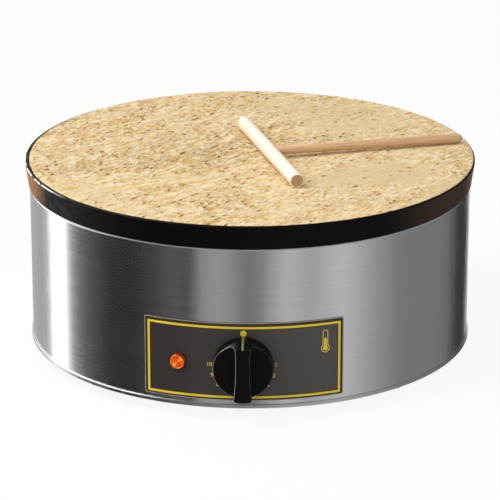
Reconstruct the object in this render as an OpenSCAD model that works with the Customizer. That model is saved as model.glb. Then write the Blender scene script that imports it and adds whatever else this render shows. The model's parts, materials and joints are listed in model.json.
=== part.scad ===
// Electric crepe maker: round griddle plate on a stainless drum, with a crepe and a wooden spreader on it.
// Millimetres, +Z up. The origin is on the plate's axis, on the surface that the feet stand on.
// The knob faces -Y.

/* [Griddle plate] */
// Diameter of the griddle plate
plate_d = 400; // [392:1:420]
// Thickness of the plate's deck
plate_t = 9; // [8:0.5:12]
// Height of the plate's deep edge, over all
plate_edge_h = 20.8; // [19:0.2:28]
// Wall of the deep edge at its foot
plate_edge_w = 6.5; // [5:0.5:8]
// How far the deep edge draws in towards its foot
plate_draft = 2.7; // [1:0.1:4]
// Radius of the plate's rounded top corner
plate_corner_r = 1.2; // [0.8:0.2:2.4]

/* [Drum] */
// How far the drum's shell stands back from the plate's foot
shell_inset = 1.1; // [0.6:0.1:2.4]
// Sheet of the shell
shell_t = 1; // [0.6:0.1:1.2]
// Height of the shell
shell_h = 141.5; // [136:0.5:160]
// Width of the shell's turned-in top flange
flange_w = 9.2; // [7:0.1:9.2]
// Outside radius of the rolled top corner
roll_r = 1.5; // [1.3:0.1:2.5]
// Width of the rear seam's lap
seam_w = 14; // [10:1:20]
// Sheet of the base pan
pan_t = 1.2; // [0.8:0.1:1.6]
// Height of the base pan's upturned rim
pan_rim_h = 3; // [2.2:0.1:6]
// Height of the stiffening bead pressed into the base pan
bead_h = 3; // [2:0.5:4]
// Width of a vent slot in the base pan
vent_w = 4; // [3:0.5:5]

/* [Feet] */
// Height of a foot
foot_h = 12; // [11:0.5:20]
// Diameter of a foot at its top
foot_d = 28; // [24:1:34]
// Distance from a tie rod in to the foot beside it, axis to axis
foot_inset = 32; // [26:1:44]

/* [Tie rods] */
// Diameter of a tie rod
rod_d = 6; // [5:0.5:6]
// Gap between a tie rod and the shell's flange
rod_gap = 2; // [1:0.5:4]

/* [Heating] */
// Diameter of the tubular heating element
tube_d = 8.5; // [7:0.5:9]
// Radius of the spiral's first half turn
spiral_in_r = 62; // [58:1:68]
// Depth of the groove that the element lies in
groove_depth = 3; // [2:0.5:4]
// Thickness of the clamp bars
clamp_t = 3; // [2:0.5:4]
// Width of the clamp bars
clamp_w = 16; // [13:1:20]
// Diameter of the clamp studs
stud_d = 5; // [4:0.5:5]
// Thickness of the insulation disc
insulation_t = 12; // [8:1:16]
// Gap between the reflector tray and the tie rods
tray_gap = 7; // [5:0.5:10]
// Distance from the outer clamp studs to the rim of the insulation
clamp_edge = 10.6; // [9.4:0.2:14]
// Sheet of the reflector tray
tray_t = 1; // [0.8:0.1:1.5]

/* [Control label] */
// Width of the label, measured round the drum
label_w = 174; // [150:1:190]
// Height of the label
label_h = 70; // [66:1:76]
// Height of the label's lower edge above the shell's foot
label_rise = 7; // [5:0.5:12]
// Thickness of the label
label_t = 0.5; // [0.3:0.1:0.8]

/* [Knob] */
// Diameter of the knob
knob_d = 52; // [48:0.5:56]
// Height of the knob's axis above the foot of the drum
knob_rise = 39.4; // [38:0.2:46]
// Gap between the label and the back of the knob
knob_gap = 1.5; // [1:0.1:3]
// Height of the scoops' floor above the back of the knob
scoop_floor = 9.6; // [9:0.1:11]
// Height of the grip bar at its crest
knob_h = 21.8; // [20.5:0.1:25]
// Width of the grip bar at its waist
waist_w = 12.2; // [10:0.2:15]
// Diameter of the thermostat shaft
shaft_d = 6; // [5:0.5:6]

/* [Pilot lamp] */
// Diameter of the lamp's bezel
lamp_d = 15.2; // [13.5:0.1:18]
// Distance from the knob to the lamp, measured round the drum
lamp_arc = 56.2; // [50:0.2:66]
// Height of the lamp's axis above the foot of the drum
lamp_rise = 40; // [34:0.5:50]

/* [Cable gland] */
// Bore of the gland's seal, which is the cord's diameter
cord_bore_d = 9.5; // [8:0.5:11]
// Height of the gland's axis above the foot of the drum
gland_rise = 38; // [30:1:60]
// Length of the gland's cap
gland_cap_l = 18; // [17:0.5:24]

/* [Crepe and spreader] */
// Thickness of the crepe
crepe_t = 1.6; // [1:0.1:3]
// Bare margin of the plate round the crepe
crepe_margin = 1.3; // [1.2:0.1:10]
// Diameter of the spreader's crossbar
bar_d = 12.6; // [11:0.5:16]
// Length of the crossbar
bar_l = 178; // [120:1:180]
// Diameter of the spreader's handle
handle_d = 8; // [6:0.5:9]
// Length of the handle from the crossbar's axis
handle_l = 180; // [140:1:181]

/* [Hidden] */
$fn = 96;

// Allowances
cut = 1;            // how far a cutter reaches past the face that it opens
fit = 0.1;          // on a diameter, where one piece sits in another
running_fit = 0.1;  // on the diameter of the shaft's bearing
hole_room = 0.6;    // on the diameter of a screw's or rod's clearance hole
seat_gap = 0.3;     // between the crepe, the spreader and what they lie on
touch = 0.05;       // between round tubes and the flat pieces that hold them
glue_t = 0.05;      // the glue line under the label

// Heights
drum_z = foot_h;                             // underside of the base pan
floor_z = drum_z + pan_t;                    // inner face of the base pan
shell_top_z = floor_z + shell_h;
plate_top_z = shell_top_z + plate_edge_h;
deck_z = plate_top_z - plate_t;              // underside of the plate's deck
tube_z = deck_z - tube_d / 2 + groove_depth; // axis of the heating element's spiral
groove_d = tube_d + 2 * fit;
pad_z = tube_z - tube_d / 2 - touch;         // top of the clamp bars and foot of their pads
clamp_nut_h = 4;
blanket_z = pad_z - clamp_t - clamp_nut_h - 1; // top of the insulation disc
tray_z = blanket_z - insulation_t;             // floor of the reflector tray, inside
tray_low_z = tray_z - tray_t;

// Drum
plate_r = plate_d / 2;
shell_r = plate_r - plate_draft - shell_inset;
shell_in_r = shell_r - shell_t;
pan_r = shell_r + fit + pan_t;
lap_t = 0.8;
seam_angle = 155;    // round the drum from the knob
seam_z = floor_z + pan_rim_h + 1;
seam_h = shell_top_z - roll_r - seam_z - 1;
rivet_d = 3;
rivet_count = 5;
rod_ring_r = shell_r - flange_w - rod_gap - rod_d / 2;
foot_ring_r = rod_ring_r - foot_inset;
bead_w = 7;
bead_r = foot_ring_r - foot_d / 2 - 24;
long_vent_l = 34;
short_vent_l = 22;
long_vent_r = bead_r - bead_w - 7;               // outer end of the long vents
short_vent_r = long_vent_r - long_vent_l - 8;    // outer end of the short vents
vent_rings = [
    // slots, inner radius, outer radius
    [14, short_vent_r - short_vent_l, short_vent_r],
    [24, long_vent_r - long_vent_l, long_vent_r],
];

// Where things stand round the axis
corner_angles = [45, 135, 225, 315];
clamp_angles = [60, 180, 300];
insulation_r = rod_ring_r - rod_d / 2 - tray_gap - tray_t - fit;
half_turns = 6;
pitches = half_turns / 2 - 1 / 4;                // between the spiral's first radius and its end
pad_d = stud_d + 7;
stud_room = tube_d / 2 + pad_d / 2 + 0.5;        // from the tube's axis to a stud's axis
spiral_room = insulation_r - clamp_edge - stud_room - spiral_in_r;
spiral_pitch = round(spiral_room / pitches * 25) / 25; // a round number, so that the half turns meet
spiral_end_x = spiral_in_r + pitches * spiral_pitch;
spiral_start_x = spiral_in_r - spiral_pitch / 4;
clamp_out_r = spiral_end_x + stud_room;
clamp_in_r = spiral_start_x - stud_room;
bend_r = 12;
leg_low_z = tray_low_z - 12;

// Knob, lamp and gland
knob_r = knob_d / 2;
label_r = shell_r + glue_t + label_t;
knob_z = drum_z + knob_rise;
knob_y = -(label_r + knob_gap);
saddle_flat_y = -(shell_in_r - 5);
saddle_w = 50;
saddle_h = 40;
screw_spread = 14;
housing_w = 44;
housing_l = 24;
base_l = 9;
tab_l = 9;
tab_w = 6.3;
tab_t = 0.8;
tab_x = 11;
knob_bore_l = 16;
lamp_angle = -lamp_arc / label_r * 180 / PI;
lamp_z = drum_z + lamp_rise;
lamp_hole_d = lamp_d - 2;
lamp_body_l = 22;
lens_r = lamp_d / 2 - 0.9;
lens_seat_z = 0.5;
gland_z = drum_z + gland_rise;
gland_thread_d = cord_bore_d + 10.5;
gland_hex = gland_thread_d + 4;
gland_flange_t = 6;

// Crepe and spreader
crepe_z = plate_top_z;
spreader_at = [17.8, -15.3];
spreader_turn = 16.6;
bar_z = crepe_z + crepe_t + seat_gap + bar_d / 2;
handle_tilt = asin((bar_d - handle_d) / 2 / handle_l);

// Wire routes: points chosen by hand, from the rear to the front or from low to high
wire_d = 3;
capillary_d = 2;
block_size = [38, 20, 16];
block_at = [-40, shell_in_r - 66];
earth_at = [34, shell_in_r - 63];
bulb_l = 78;
bulb_d = 6;
bulb_z = deck_z - bulb_d / 2 - touch;

// Colours
cast_black = "#1c1a19";
steel = "#b9bbbd";
bright_steel = "#d6d8da";
zinc = "#a9acad";
rubber_black = "#161616";
plastic_black = "#202123";
ceramic = "#e9e4d8";

// Points along an arc, for outlines
function arc(centre, r, from, to, steps = 8) =
    [for (i = [0:steps]) let (a = from + (to - from) * i / steps) centre + r * [cos(a), sin(a)]];
function unit(v) = v / norm(v);
function curve_point(a, b, c, d, t) =
    (2 * b + (c - a) * t + (2 * a - 5 * b + 4 * c - d) * t * t + (3 * b - a - 3 * c + d) * t * t * t) / 2;
// A smooth curve through the given points
function smooth(points, steps) = let (last = len(points) - 1) [
    for (i = [0:last - 1], j = [0:steps - 1])
        curve_point(points[max(i - 1, 0)], points[i], points[i + 1], points[min(i + 2, last)], j / steps),
    points[last],
];

module at_polar(angle, r, z = 0) {
    rotate(angle) translate([r, 0, z]) children();
}

// Places children on the drum's wall: their +Z points out of the wall, their +Y up.
// Angle 0 is the knob's side.
module on_wall(angle, z, r = shell_r) {
    rotate(angle) translate([0, -r, z]) rotate([90, 0, 0]) children();
}

module hole(d, low, high) {
    translate([0, 0, low]) cylinder(d = d, h = high - low);
}

module ring(outer_d, inner_d, h) {
    difference() {
        cylinder(d = outer_d, h = h);
        hole(inner_d, -cut, h + cut);
    }
}

module nut(across_flats, bore_d, h) {
    difference() {
        cylinder(d = across_flats / cos(30), h = h, $fn = 6);
        hole(bore_d, -cut, h + cut);
    }
}

// Round wire along points, with the rings turned by the direction across
module wire(points, d, across = [1, 0, 0], steps = 5, sides = 8) {
    path = smooth(points, steps);
    last = len(path) - 1;
    rings = [
        for (i = [0:last])
            let (along = unit(path[min(i + 1, last)] - path[max(i - 1, 0)]),
                 side = unit(cross(across, along)),
                 up = cross(along, side))
            for (k = [0:sides - 1])
                path[i] + d / 2 * (side * cos(360 * k / sides) + up * sin(360 * k / sides))
    ];
    polyhedron(rings, concat(
        [[for (k = [0:sides - 1]) k], [for (k = [sides - 1:-1:0]) last * sides + k]],
        [for (i = [0:last - 1], k = [0:sides - 1]) let (n = (k + 1) % sides)
            [i * sides + k, (i + 1) * sides + k, (i + 1) * sides + n, i * sides + n]]
    ));
}

// ---- Griddle plate ----

// The spiral is a chain of half turns. Each one is wider than the last, and their centres swap sides.
module spiral(d) {
    for (k = [0:half_turns - 1])
        translate([(k % 2 == 0 ? -1 : 1) * spiral_pitch / 4, 0, tube_z])
            rotate(180 * k) rotate_extrude(angle = 180)
                translate([spiral_in_r + k * spiral_pitch / 2, 0]) circle(d = d);
}

module griddle_plate() {
    foot_r = plate_r - plate_draft;
    color(cast_black) difference() {
        union() {
            rotate_extrude() polygon(concat(
                [[0, plate_top_z]],
                arc([plate_r - plate_corner_r, plate_top_z - plate_corner_r], plate_corner_r, 90, 0),
                [[foot_r, shell_top_z], [foot_r - plate_edge_w, shell_top_z]],
                arc([foot_r - plate_edge_w - 4, deck_z - 4], 4, 0, 90),
                [[0, deck_z]]
            ));
            for (a = clamp_angles, r = [clamp_in_r, clamp_out_r])
                at_polar(a, r, pad_z) cylinder(d = pad_d, h = deck_z - pad_z + cut);
            for (a = corner_angles)
                at_polar(a, rod_ring_r, shell_top_z + 1.3) cylinder(d = rod_d + 9, h = deck_z - shell_top_z);
        }
        for (a = clamp_angles, r = [clamp_in_r, clamp_out_r])
            at_polar(a, r) hole(stud_d + fit, pad_z - cut, plate_top_z - 3);
        for (a = corner_angles)
            at_polar(a, rod_ring_r) hole(rod_d + fit, shell_top_z, plate_top_z - 3);
        for (x = [-1, 1])
            translate([x * clip_screw_x, 0, 0]) hole(clip_screw_d + fit, deck_z - cut, deck_z + 5);
        spiral(groove_d);
        end_leg(groove_d);
        start_leg(groove_d);
    }
}

// ---- Drum ----

module body_shell() {
    color(steel) difference() {
        union() {
            rotate_extrude() polygon(concat(
                [[shell_in_r, floor_z], [shell_r, floor_z]],
                arc([shell_r - roll_r, shell_top_z - roll_r], roll_r, 0, 90),
                [[shell_r - flange_w, shell_top_z], [shell_r - flange_w, shell_top_z - shell_t]],
                arc([shell_r - roll_r, shell_top_z - roll_r], roll_r - shell_t, 90, 0, 4)
            ));
            intersection() {
                translate([0, 0, seam_z]) ring(2 * (shell_r + lap_t), 2 * (shell_r - shell_t / 2), seam_h);
                rotate(seam_angle) translate([-seam_w / 2, -shell_r - 5, seam_z]) cube([seam_w, 10, seam_h]);
            }
        }
        on_wall(0, knob_z) hole(shaft_d + 4, -5, 5);
        for (x = [-1, 1])
            on_wall(0, knob_z) translate([x * screw_spread, 0, 0]) hole(4 + hole_room, -8, 5);
        on_wall(lamp_angle, lamp_z) hole(lamp_hole_d + hole_room, -8, 5);
        on_wall(180, gland_z) hole(gland_thread_d + hole_room, -8, 5);
        for (i = [0:rivet_count - 1])
            on_wall(seam_angle, rivet_z(i)) hole(rivet_d + fit, -5, 5);
    }
}

function rivet_z(i) = seam_z + seam_h * (i + 0.5) / rivet_count;

module seam_rivets() {
    inside = lap_t + shell_t;
    color(bright_steel) for (i = [0:rivet_count - 1])
        on_wall(seam_angle, rivet_z(i), shell_r + lap_t) rotate_extrude() polygon(concat(
            [[0, -inside - 1.4], [2.2, -inside - 1.4], [2.4, -inside - 0.2], [rivet_d / 2, -inside - 0.2],
             [rivet_d / 2, 0.05], [rivet_d, 0.05]],
            arc([0, -1.55], norm([rivet_d, 1.6]), atan(1.6 / rivet_d), 90, 5)
        ));
}

module vent_slots() {
    for (vents = vent_rings, i = [0:vents[0] - 1])
        rotate(360 * i / vents[0]) translate([vents[1], -vent_w / 2]) {
            square([vents[2] - vents[1], vent_w]);
            for (x = [0, vents[2] - vents[1]]) translate([x, vent_w / 2]) circle(d = vent_w, $fn = 24);
        }
}

module base_pan() {
    color(zinc) difference() {
        rotate_extrude() polygon([
            [0, drum_z], [bead_r - bead_w, drum_z], [bead_r - bead_w / 2, drum_z + bead_h],
            [bead_r + bead_w / 2, drum_z + bead_h], [bead_r + bead_w, drum_z], [pan_r - 0.6, drum_z],
            [pan_r, drum_z + 0.6], [pan_r, drum_z + pan_rim_h], [pan_r - pan_t, drum_z + pan_rim_h],
            [pan_r - pan_t, floor_z], [bead_r + bead_w + 0.4, floor_z],
            [bead_r + bead_w / 2 + 0.4, floor_z + bead_h], [bead_r - bead_w / 2 - 0.4, floor_z + bead_h],
            [bead_r - bead_w - 0.4, floor_z], [0, floor_z],
        ]);
        translate([0, 0, drum_z - cut]) linear_extrude(pan_t + 2 * cut) vent_slots();
        for (a = corner_angles) {
            at_polar(a, foot_ring_r) hole(foot_screw_d + hole_room, drum_z - cut, floor_z + cut);
            at_polar(a, rod_ring_r) hole(rod_d + hole_room, drum_z - cut, floor_z + cut);
        }
    }
}

// ---- Feet ----

foot_screw_d = 4;
foot_recess_d = 9;
foot_recess_h = 6;

module foot(corner) {
    at_polar(corner_angles[corner], foot_ring_r) color(rubber_black) difference() {
        rotate_extrude() polygon([
            [0, 0], [foot_d / 2 - 3, 0], [foot_d / 2 - 2, 1], [foot_d / 2, foot_h - 2], [foot_d / 2, foot_h],
            [0, foot_h],
        ]);
        hole(foot_recess_d, -cut, foot_recess_h);
        hole(foot_screw_d + fit, -cut, foot_h + cut);
    }
}

module foot_rear_right() { foot(0); }
module foot_rear_left() { foot(1); }
module foot_front_left() { foot(2); }
module foot_front_right() { foot(3); }

module foot_screws() {
    color(zinc) for (a = corner_angles) at_polar(a, foot_ring_r) difference() {
        union() {
            translate([0, 0, foot_recess_h - 2.6]) cylinder(d = foot_recess_d - 1, h = 2.6);
            hole(foot_screw_d, foot_recess_h - 0.5, floor_z + 5);
        }
        for (turn = [0, 90])
            rotate(turn) translate([-2.2, -0.4, foot_recess_h - 3.6]) cube([4.4, 0.8, 2.2]);
    }
}

module foot_nuts() {
    color(zinc) for (a = corner_angles) at_polar(a, foot_ring_r, floor_z) nut(7, foot_screw_d + fit, 3.4);
}

// ---- Tie rods: they pull the plate down on the shell, and the shell down into the base pan ----

module tie_rods() {
    color(zinc) for (a = corner_angles) at_polar(a, rod_ring_r) hole(rod_d, drum_z - 7, plate_top_z - 3.5);
}

module tie_rod_nuts() {
    color(zinc) for (a = corner_angles) at_polar(a, rod_ring_r, drum_z - 6) {
        nut(rod_d + 4, rod_d + fit, 5);
        translate([0, 0, 5]) ring(rod_d + 7.5, rod_d + fit, 1);
    }
}

// ---- Heating ----

// One end of the element: a quarter bend, then a straight leg down through the tray
module element_leg(x, d) {
    translate([x, 0, tube_z - bend_r]) {
        rotate([90, 0, 90]) rotate_extrude(angle = 90) translate([bend_r, 0]) circle(d = d);
        translate([0, bend_r, leg_low_z - tube_z + bend_r])
            cylinder(d = d, h = tube_z - bend_r - leg_low_z);
    }
}

module end_leg(d) { element_leg(spiral_end_x, d); }
module start_leg(d) { mirror([0, 1, 0]) element_leg(spiral_start_x, d); }

// Children stand at the foot of each leg of the element
module at_legs() {
    translate([spiral_start_x, -bend_r, 0]) children();
    translate([spiral_end_x, bend_r, 0]) children();
}

module heating_element() {
    color("#5b5a58") union() {
        spiral(tube_d);
        end_leg(tube_d);
        start_leg(tube_d);
    }
}

module element_terminals() {
    color(bright_steel) at_legs() union() {
        hole(4, leg_low_z - 6, leg_low_z);
        translate([-tab_w / 2, -tab_t / 2, leg_low_z - 5 - tab_l]) cube([tab_w, tab_t, tab_l]);
    }
}

module element_bushes() {
    color(ceramic) at_legs() difference() {
        union() {
            hole(tube_d + 8, tray_low_z - 6, tray_low_z);
            hole(tube_d + 5, tray_low_z, tray_z + 3);
        }
        hole(tube_d + fit, tray_low_z - 6 - cut, tray_z + 3 + cut);
    }
}

module clamp_bars() {
    slot_in = 16;
    color(zinc) for (a = clamp_angles) rotate(a) translate([0, 0, pad_z - clamp_t]) difference() {
        linear_extrude(clamp_t) {
            translate([clamp_in_r, -clamp_w / 2]) square([clamp_out_r - clamp_in_r, clamp_w]);
            for (r = [clamp_in_r, clamp_out_r]) translate([r, 0]) circle(d = clamp_w);
        }
        for (r = [clamp_in_r, clamp_out_r])
            translate([r, 0, 0]) hole(stud_d + hole_room, -cut, clamp_t + cut);
        // a long slot lightens the bar between its two studs
        translate([clamp_in_r + slot_in, -1.5, -cut])
            cube([clamp_out_r - clamp_in_r - 2 * slot_in, 3, clamp_t + 2 * cut]);
    }
}

// Children stand on each clamp stud's axis
module at_studs(z = 0) {
    for (a = clamp_angles, r = [clamp_in_r, clamp_out_r]) at_polar(a, r, z) children();
}

module clamp_studs() {
    color(zinc) at_studs() hole(stud_d, tray_low_z - 6, plate_top_z - 3.5);
}

module clamp_nuts() {
    color(zinc) at_studs(pad_z - clamp_t - clamp_nut_h) nut(stud_d + 3, stud_d + fit, clamp_nut_h);
}

module tray_nuts() {
    color(zinc) at_studs(tray_low_z - 4) nut(stud_d + 3, stud_d + fit, 4);
}

capillary_at = [0, -58];
capillary_hole_d = 8;

module blanket_holes(room) {
    at_studs() hole(stud_d + hole_room, tray_low_z - cut, blanket_z + cut);
    at_legs() hole(tube_d + 5 + room, tray_low_z - cut, blanket_z + cut);
    translate(capillary_at) hole(capillary_hole_d, tray_low_z - cut, blanket_z + cut);
}

module insulation_disc() {
    color("#e8e2d2") difference() {
        hole(2 * insulation_r, tray_z, blanket_z);
        blanket_holes(fit);
    }
}

module reflector_tray() {
    rim_r = insulation_r + fit;
    color("#c9cccf") difference() {
        rotate_extrude() polygon([
            [0, tray_low_z], [rim_r + tray_t - 1, tray_low_z], [rim_r + tray_t, tray_low_z + 1],
            [rim_r + tray_t, blanket_z], [rim_r, blanket_z], [rim_r, tray_z], [0, tray_z],
        ]);
        blanket_holes(fit);
        for (x = [-1, 1]) translate([cutout_at.x + x * cutout_spread, cutout_at.y, 0])
            hole(rivet_d + fit, tray_low_z - cut, tray_z + cut);
    }
}

cutout_at = [-30, 62];
cutout_spread = 12;

module thermal_cutout() {
    translate([cutout_at.x, cutout_at.y, tray_low_z]) color(plastic_black) difference() {
        union() {
            hole(16, -9, 0);
            hole(10, -11, -9);
            translate([-cutout_spread - 4, -4, -0.8]) cube([2 * cutout_spread + 8, 8, 0.8]);
            for (x = [-1, 1])
                translate([x * 5 - tab_t / 2, -tab_w / 2, -9 - tab_l]) cube([tab_t, tab_w, tab_l + 1]);
        }
        for (x = [-1, 1]) translate([x * cutout_spread, 0, 0]) hole(rivet_d + fit, -3, cut);
    }
}

module cutout_rivets() {
    color(bright_steel) for (x = [-1, 1])
        translate([cutout_at.x + x * cutout_spread, cutout_at.y, tray_low_z]) {
            hole(rivet_d, -1, tray_t - 0.1);
            hole(rivet_d + 2, -2, -0.85);
        }
}

// ---- Temperature sensor ----

clip_screw_x = 8;
clip_screw_d = 3;
clip_t = 0.8;
clip_w = 12;

module sensor_bulb() {
    color("#b88a4a") translate([0, bulb_l / 2, bulb_z]) rotate([90, 0, 0]) cylinder(d = bulb_d, h = bulb_l);
}

module bulb_clip() {
    saddle_r = bulb_d / 2 + fit;
    flat = clip_screw_x + 4;
    color(zinc) difference() {
        translate([0, clip_w / 2, 0]) rotate([90, 0, 0]) linear_extrude(clip_w) difference() {
            union() {
                translate([-flat, deck_z - clip_t]) square([2 * flat, clip_t]);
                translate([-saddle_r - clip_t, bulb_z]) square([2 * (saddle_r + clip_t), deck_z - bulb_z]);
                translate([0, bulb_z]) circle(r = saddle_r + clip_t);
            }
            translate([0, bulb_z]) circle(r = saddle_r);
            translate([-saddle_r, bulb_z]) square([2 * saddle_r, deck_z - bulb_z + cut]);
        }
        for (x = [-1, 1])
            translate([x * clip_screw_x, 0, 0]) hole(clip_screw_d + fit, deck_z - clip_t - cut, deck_z + cut);
    }
}

module clip_screws() {
    color(zinc) for (x = [-1, 1]) translate([x * clip_screw_x, 0, 0]) {
        hole(clip_screw_d, deck_z - clip_t - 0.5, deck_z + 4.5);
        hole(clip_screw_d + 2.4, deck_z - clip_t - 2, deck_z - clip_t);
    }
}

module capillary_tube() {
    low = [0, saddle_flat_y + housing_l + base_l, knob_z + 14];
    color("#b88a4a") wire([
        [0, -bulb_l / 2, bulb_z], [0, -46, bulb_z], [0, -54, bulb_z - 4], [0, -58, bulb_z - 12],
        [0, -58, tray_z], [0, -60, tray_low_z - 12], [0, -90, 108], [0, -130, 92], low + [0, 12, 4], low,
    ], capillary_d, steps = 6);
}

// ---- Controls ----

module control_label() {
    half = label_w / 2 / label_r * 180 / PI;
    corner = 1.5;
    width = 2 * label_r * sin(half);
    color("#3f3c3a") difference() {
        intersection() {
            translate([0, 0, drum_z]) ring(2 * label_r, 2 * (shell_r + glue_t), label_rise + label_h + cut);
            on_wall(0, drum_z + label_rise, 0) linear_extrude(label_r + cut) {
                translate([corner - width / 2, 0]) square([width - 2 * corner, label_h]);
                translate([-width / 2, corner]) square([width, label_h - 2 * corner]);
                for (x = [corner - width / 2, width / 2 - corner], y = [corner, label_h - corner])
                    translate([x, y]) circle(r = corner);
            }
        }
        on_wall(0, knob_z) {
            hole(shaft_d + 4, -5, 5);
            for (x = [-1, 1]) translate([x * screw_spread, 0, 0]) hole(4 + hole_room, -8, 5);
        }
        on_wall(lamp_angle, lamp_z) hole(lamp_hole_d + hole_room, -8, 5);
    }
}

// Its front follows the curve of the shell, its back is flat for the thermostat
module saddle_plate() {
    color(zinc) difference() {
        intersection() {
            hole(2 * shell_in_r, 0, shell_top_z, $fn = 360);
            translate([-saddle_w / 2, -shell_r, knob_z - saddle_h / 2])
                cube([saddle_w, shell_r + saddle_flat_y, saddle_h]);
        }
        on_wall(0, knob_z) {
            hole(shaft_d + 2, -12, 5);
            for (x = [-1, 1]) translate([x * screw_spread, 0, 0]) hole(4 + hole_room, -12, 5);
        }
    }
}

module thermostat_housing() {
    color("#c3c6c8") translate([0, saddle_flat_y, knob_z]) rotate([90, 0, 0]) mirror([0, 0, 1]) difference() {
        linear_extrude(housing_l) difference() {
            square(housing_w, center = true);
            for (x = [-1, 1], y = [-1, 1])
                translate([x * housing_w / 2, y * housing_w / 2]) rotate(45) square(6, center = true);
        }
        hole(shaft_d + running_fit, -cut, housing_l - 4);
        for (x = [-1, 1]) translate([x * screw_spread, 0, 0]) hole(4 + fit, -cut, 8);
    }
}

module thermostat_base() {
    color("#e4ddcc") translate([0, saddle_flat_y + housing_l, knob_z]) rotate([90, 0, 0]) mirror([0, 0, 1]) {
        translate([-housing_w / 2 + 3, -housing_w / 2 + 3, 0]) cube([housing_w - 6, housing_w - 6, base_l]);
        for (x = [-1, 1])
            translate([x * tab_x - tab_w / 2, -tab_t / 2, base_l - 0.5]) cube([tab_w, tab_t, tab_l + 0.5]);
    }
}

module thermostat_screws() {
    head_d = 7;
    head_h = 2.4;
    inner = screw_spread - head_d / 2;
    seat_y = sqrt(label_r * label_r - inner * inner) + 0.02;
    color(zinc) for (x = [-1, 1])
        translate([x * screw_spread, -seat_y, knob_z]) rotate([90, 0, 0]) difference() {
            union() {
                cylinder(d = head_d, h = head_h);
                hole(4, -saddle_flat_y - seat_y - 7, 0.5);
            }
            translate([-head_d / 2 - cut, -0.5, head_h - 1]) cube([head_d + 2 * cut, 1, 2]);
        }
}

// The shaft's flat faces up, towards the knob's index line
shaft_flat = 1.5;

module thermostat_shaft() {
    inner_end = -knob_y + saddle_flat_y + housing_l - 4.5;
    color(bright_steel) on_shaft() difference() {
        hole(shaft_d, -inner_end, knob_bore_l - 0.5);
        translate([-shaft_d, shaft_d / 2 - shaft_flat, 1]) cube([2 * shaft_d, shaft_d, knob_bore_l]);
    }
}

spring_t = 0.5;

module knob_spring() {
    color(bright_steel) on_shaft()
        translate([-2, shaft_d / 2 - shaft_flat + touch, 2]) cube([4, spring_t, 11]);
}

// Plan of the grip bar: a strip with hollow sides and a rounded lower end. It runs on past the knob's top.
bar_hollow_r = 215;
bar_hollow_v = 4;

module grip_bar_plan() {
    corner = 3;
    strip_w = 2 * waist_w;
    offset(r = corner, $fn = 32) offset(delta = -corner) difference() {
        intersection() {
            translate([-strip_w / 2, -knob_r]) square([strip_w, 3 * knob_r]);
            union() {
                circle(r = knob_r + 1);
                translate([-knob_r, 0]) square(2 * knob_r);
            }
        }
        for (side = [-1, 1])
            translate([side * (waist_w / 2 + bar_hollow_r), bar_hollow_v])
                circle(r = bar_hollow_r, $fn = 360);
    }
}

// Plan of the two scoops: a circle that leaves a lip at the top and runs out at the sides, less the grip bar
module scoop_plan() {
    lip = 2;
    drop = 3;
    corner = 3.2;
    offset(r = corner, $fn = 32) offset(delta = -corner) difference() {
        union() {
            translate([0, -drop]) circle(r = knob_r - lip + drop);
            translate([-knob_r - 8, -knob_r - 8]) square([2 * knob_r + 16, knob_r + 6]);
        }
        grip_bar_plan();
    }
}

// Side view of the grip bar: its crest is an arc that sinks into the crown at the upper end
module grip_bar_side() {
    crest_r = 105;
    crest_v = -16;
    intersection() {
        translate([-knob_r, 0]) square([2 * knob_r, knob_h + 1]);
        translate([crest_v, knob_h - crest_r]) circle(r = crest_r, $fn = 360);
    }
}

module knob_crown() {
    skirt_top = scoop_floor - 0.4;
    rotate_extrude() polygon(concat(
        [[0, 0], [knob_r - 0.2, 0], [knob_r, 0.8], [knob_r - 0.3, skirt_top]],
        arc([knob_r - 9.4, skirt_top - 0.6], 9.1, 8, 62, 7),
        [[0, skirt_top + 8.4]]
    ));
}

// The knob's frame: +Z points out along the shaft, +Y up
module on_shaft() {
    translate([0, knob_y, knob_z]) rotate([90, 0, 0]) children();
}

module control_knob() {
    hub_d = shaft_d + 8;
    block_w = waist_w + 6;
    block_top = knob_r - 6;
    block_foot = 3;
    color(plastic_black) on_shaft() difference() {
        union() {
            knob_crown();
            intersection() {
                translate([-block_w / 2, -knob_r, block_foot])
                    cube([block_w, knob_r + block_top, knob_h + cut]);
                cylinder(r = knob_r, h = knob_h + cut);
                rotate([90, 0, 90]) translate([0, 0, -knob_r]) linear_extrude(2 * knob_r) grip_bar_side();
            }
        }
        translate([0, 0, scoop_floor]) linear_extrude(knob_h) scoop_plan();
        difference() {
            hole(knob_d - 6, -cut, 6.5);
            hole(hub_d, -2 * cut, 7);
        }
        difference() {
            hole(shaft_d + fit, -cut, knob_bore_l);
            translate([-shaft_d, shaft_d / 2 - shaft_flat + spring_t + 2 * touch, 1.5])
                cube([2 * shaft_d, shaft_d, knob_bore_l]);
        }
    }
}

// ---- Pilot lamp ----

module pilot_bezel() {
    color("#7a2d16") on_wall(lamp_angle, lamp_z, label_r) difference() {
        union() {
            rotate_extrude() polygon([
                [0, 0.02], [lamp_d / 2, 0.02], [lamp_d / 2, 0.9], [lamp_d / 2 - 0.4, 1.3], [0, 1.3],
            ]);
            hole(lamp_hole_d, -12, 0.5);
        }
        hole(2 * (lens_r + touch), lens_seat_z, 5);
        hole(lamp_hole_d - 2.4, -13, 5);
    }
}

// The lens stands proud of the bezel: its side draws in, and its front is flat with a rounded edge
module pilot_lens() {
    draft = 0.5;
    front_r = lens_r - draft;
    front_z = lens_seat_z + 3.3;
    color("#e8641c") on_wall(lamp_angle, lamp_z, label_r) rotate_extrude() polygon(concat(
        [[0, lens_seat_z + touch], [lens_r, lens_seat_z + touch], [lens_r, 1.5]],
        arc([front_r - 0.6, front_z - 0.6], 0.6, 0, 90, 4),
        [[0, front_z]]
    ));
}

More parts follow.
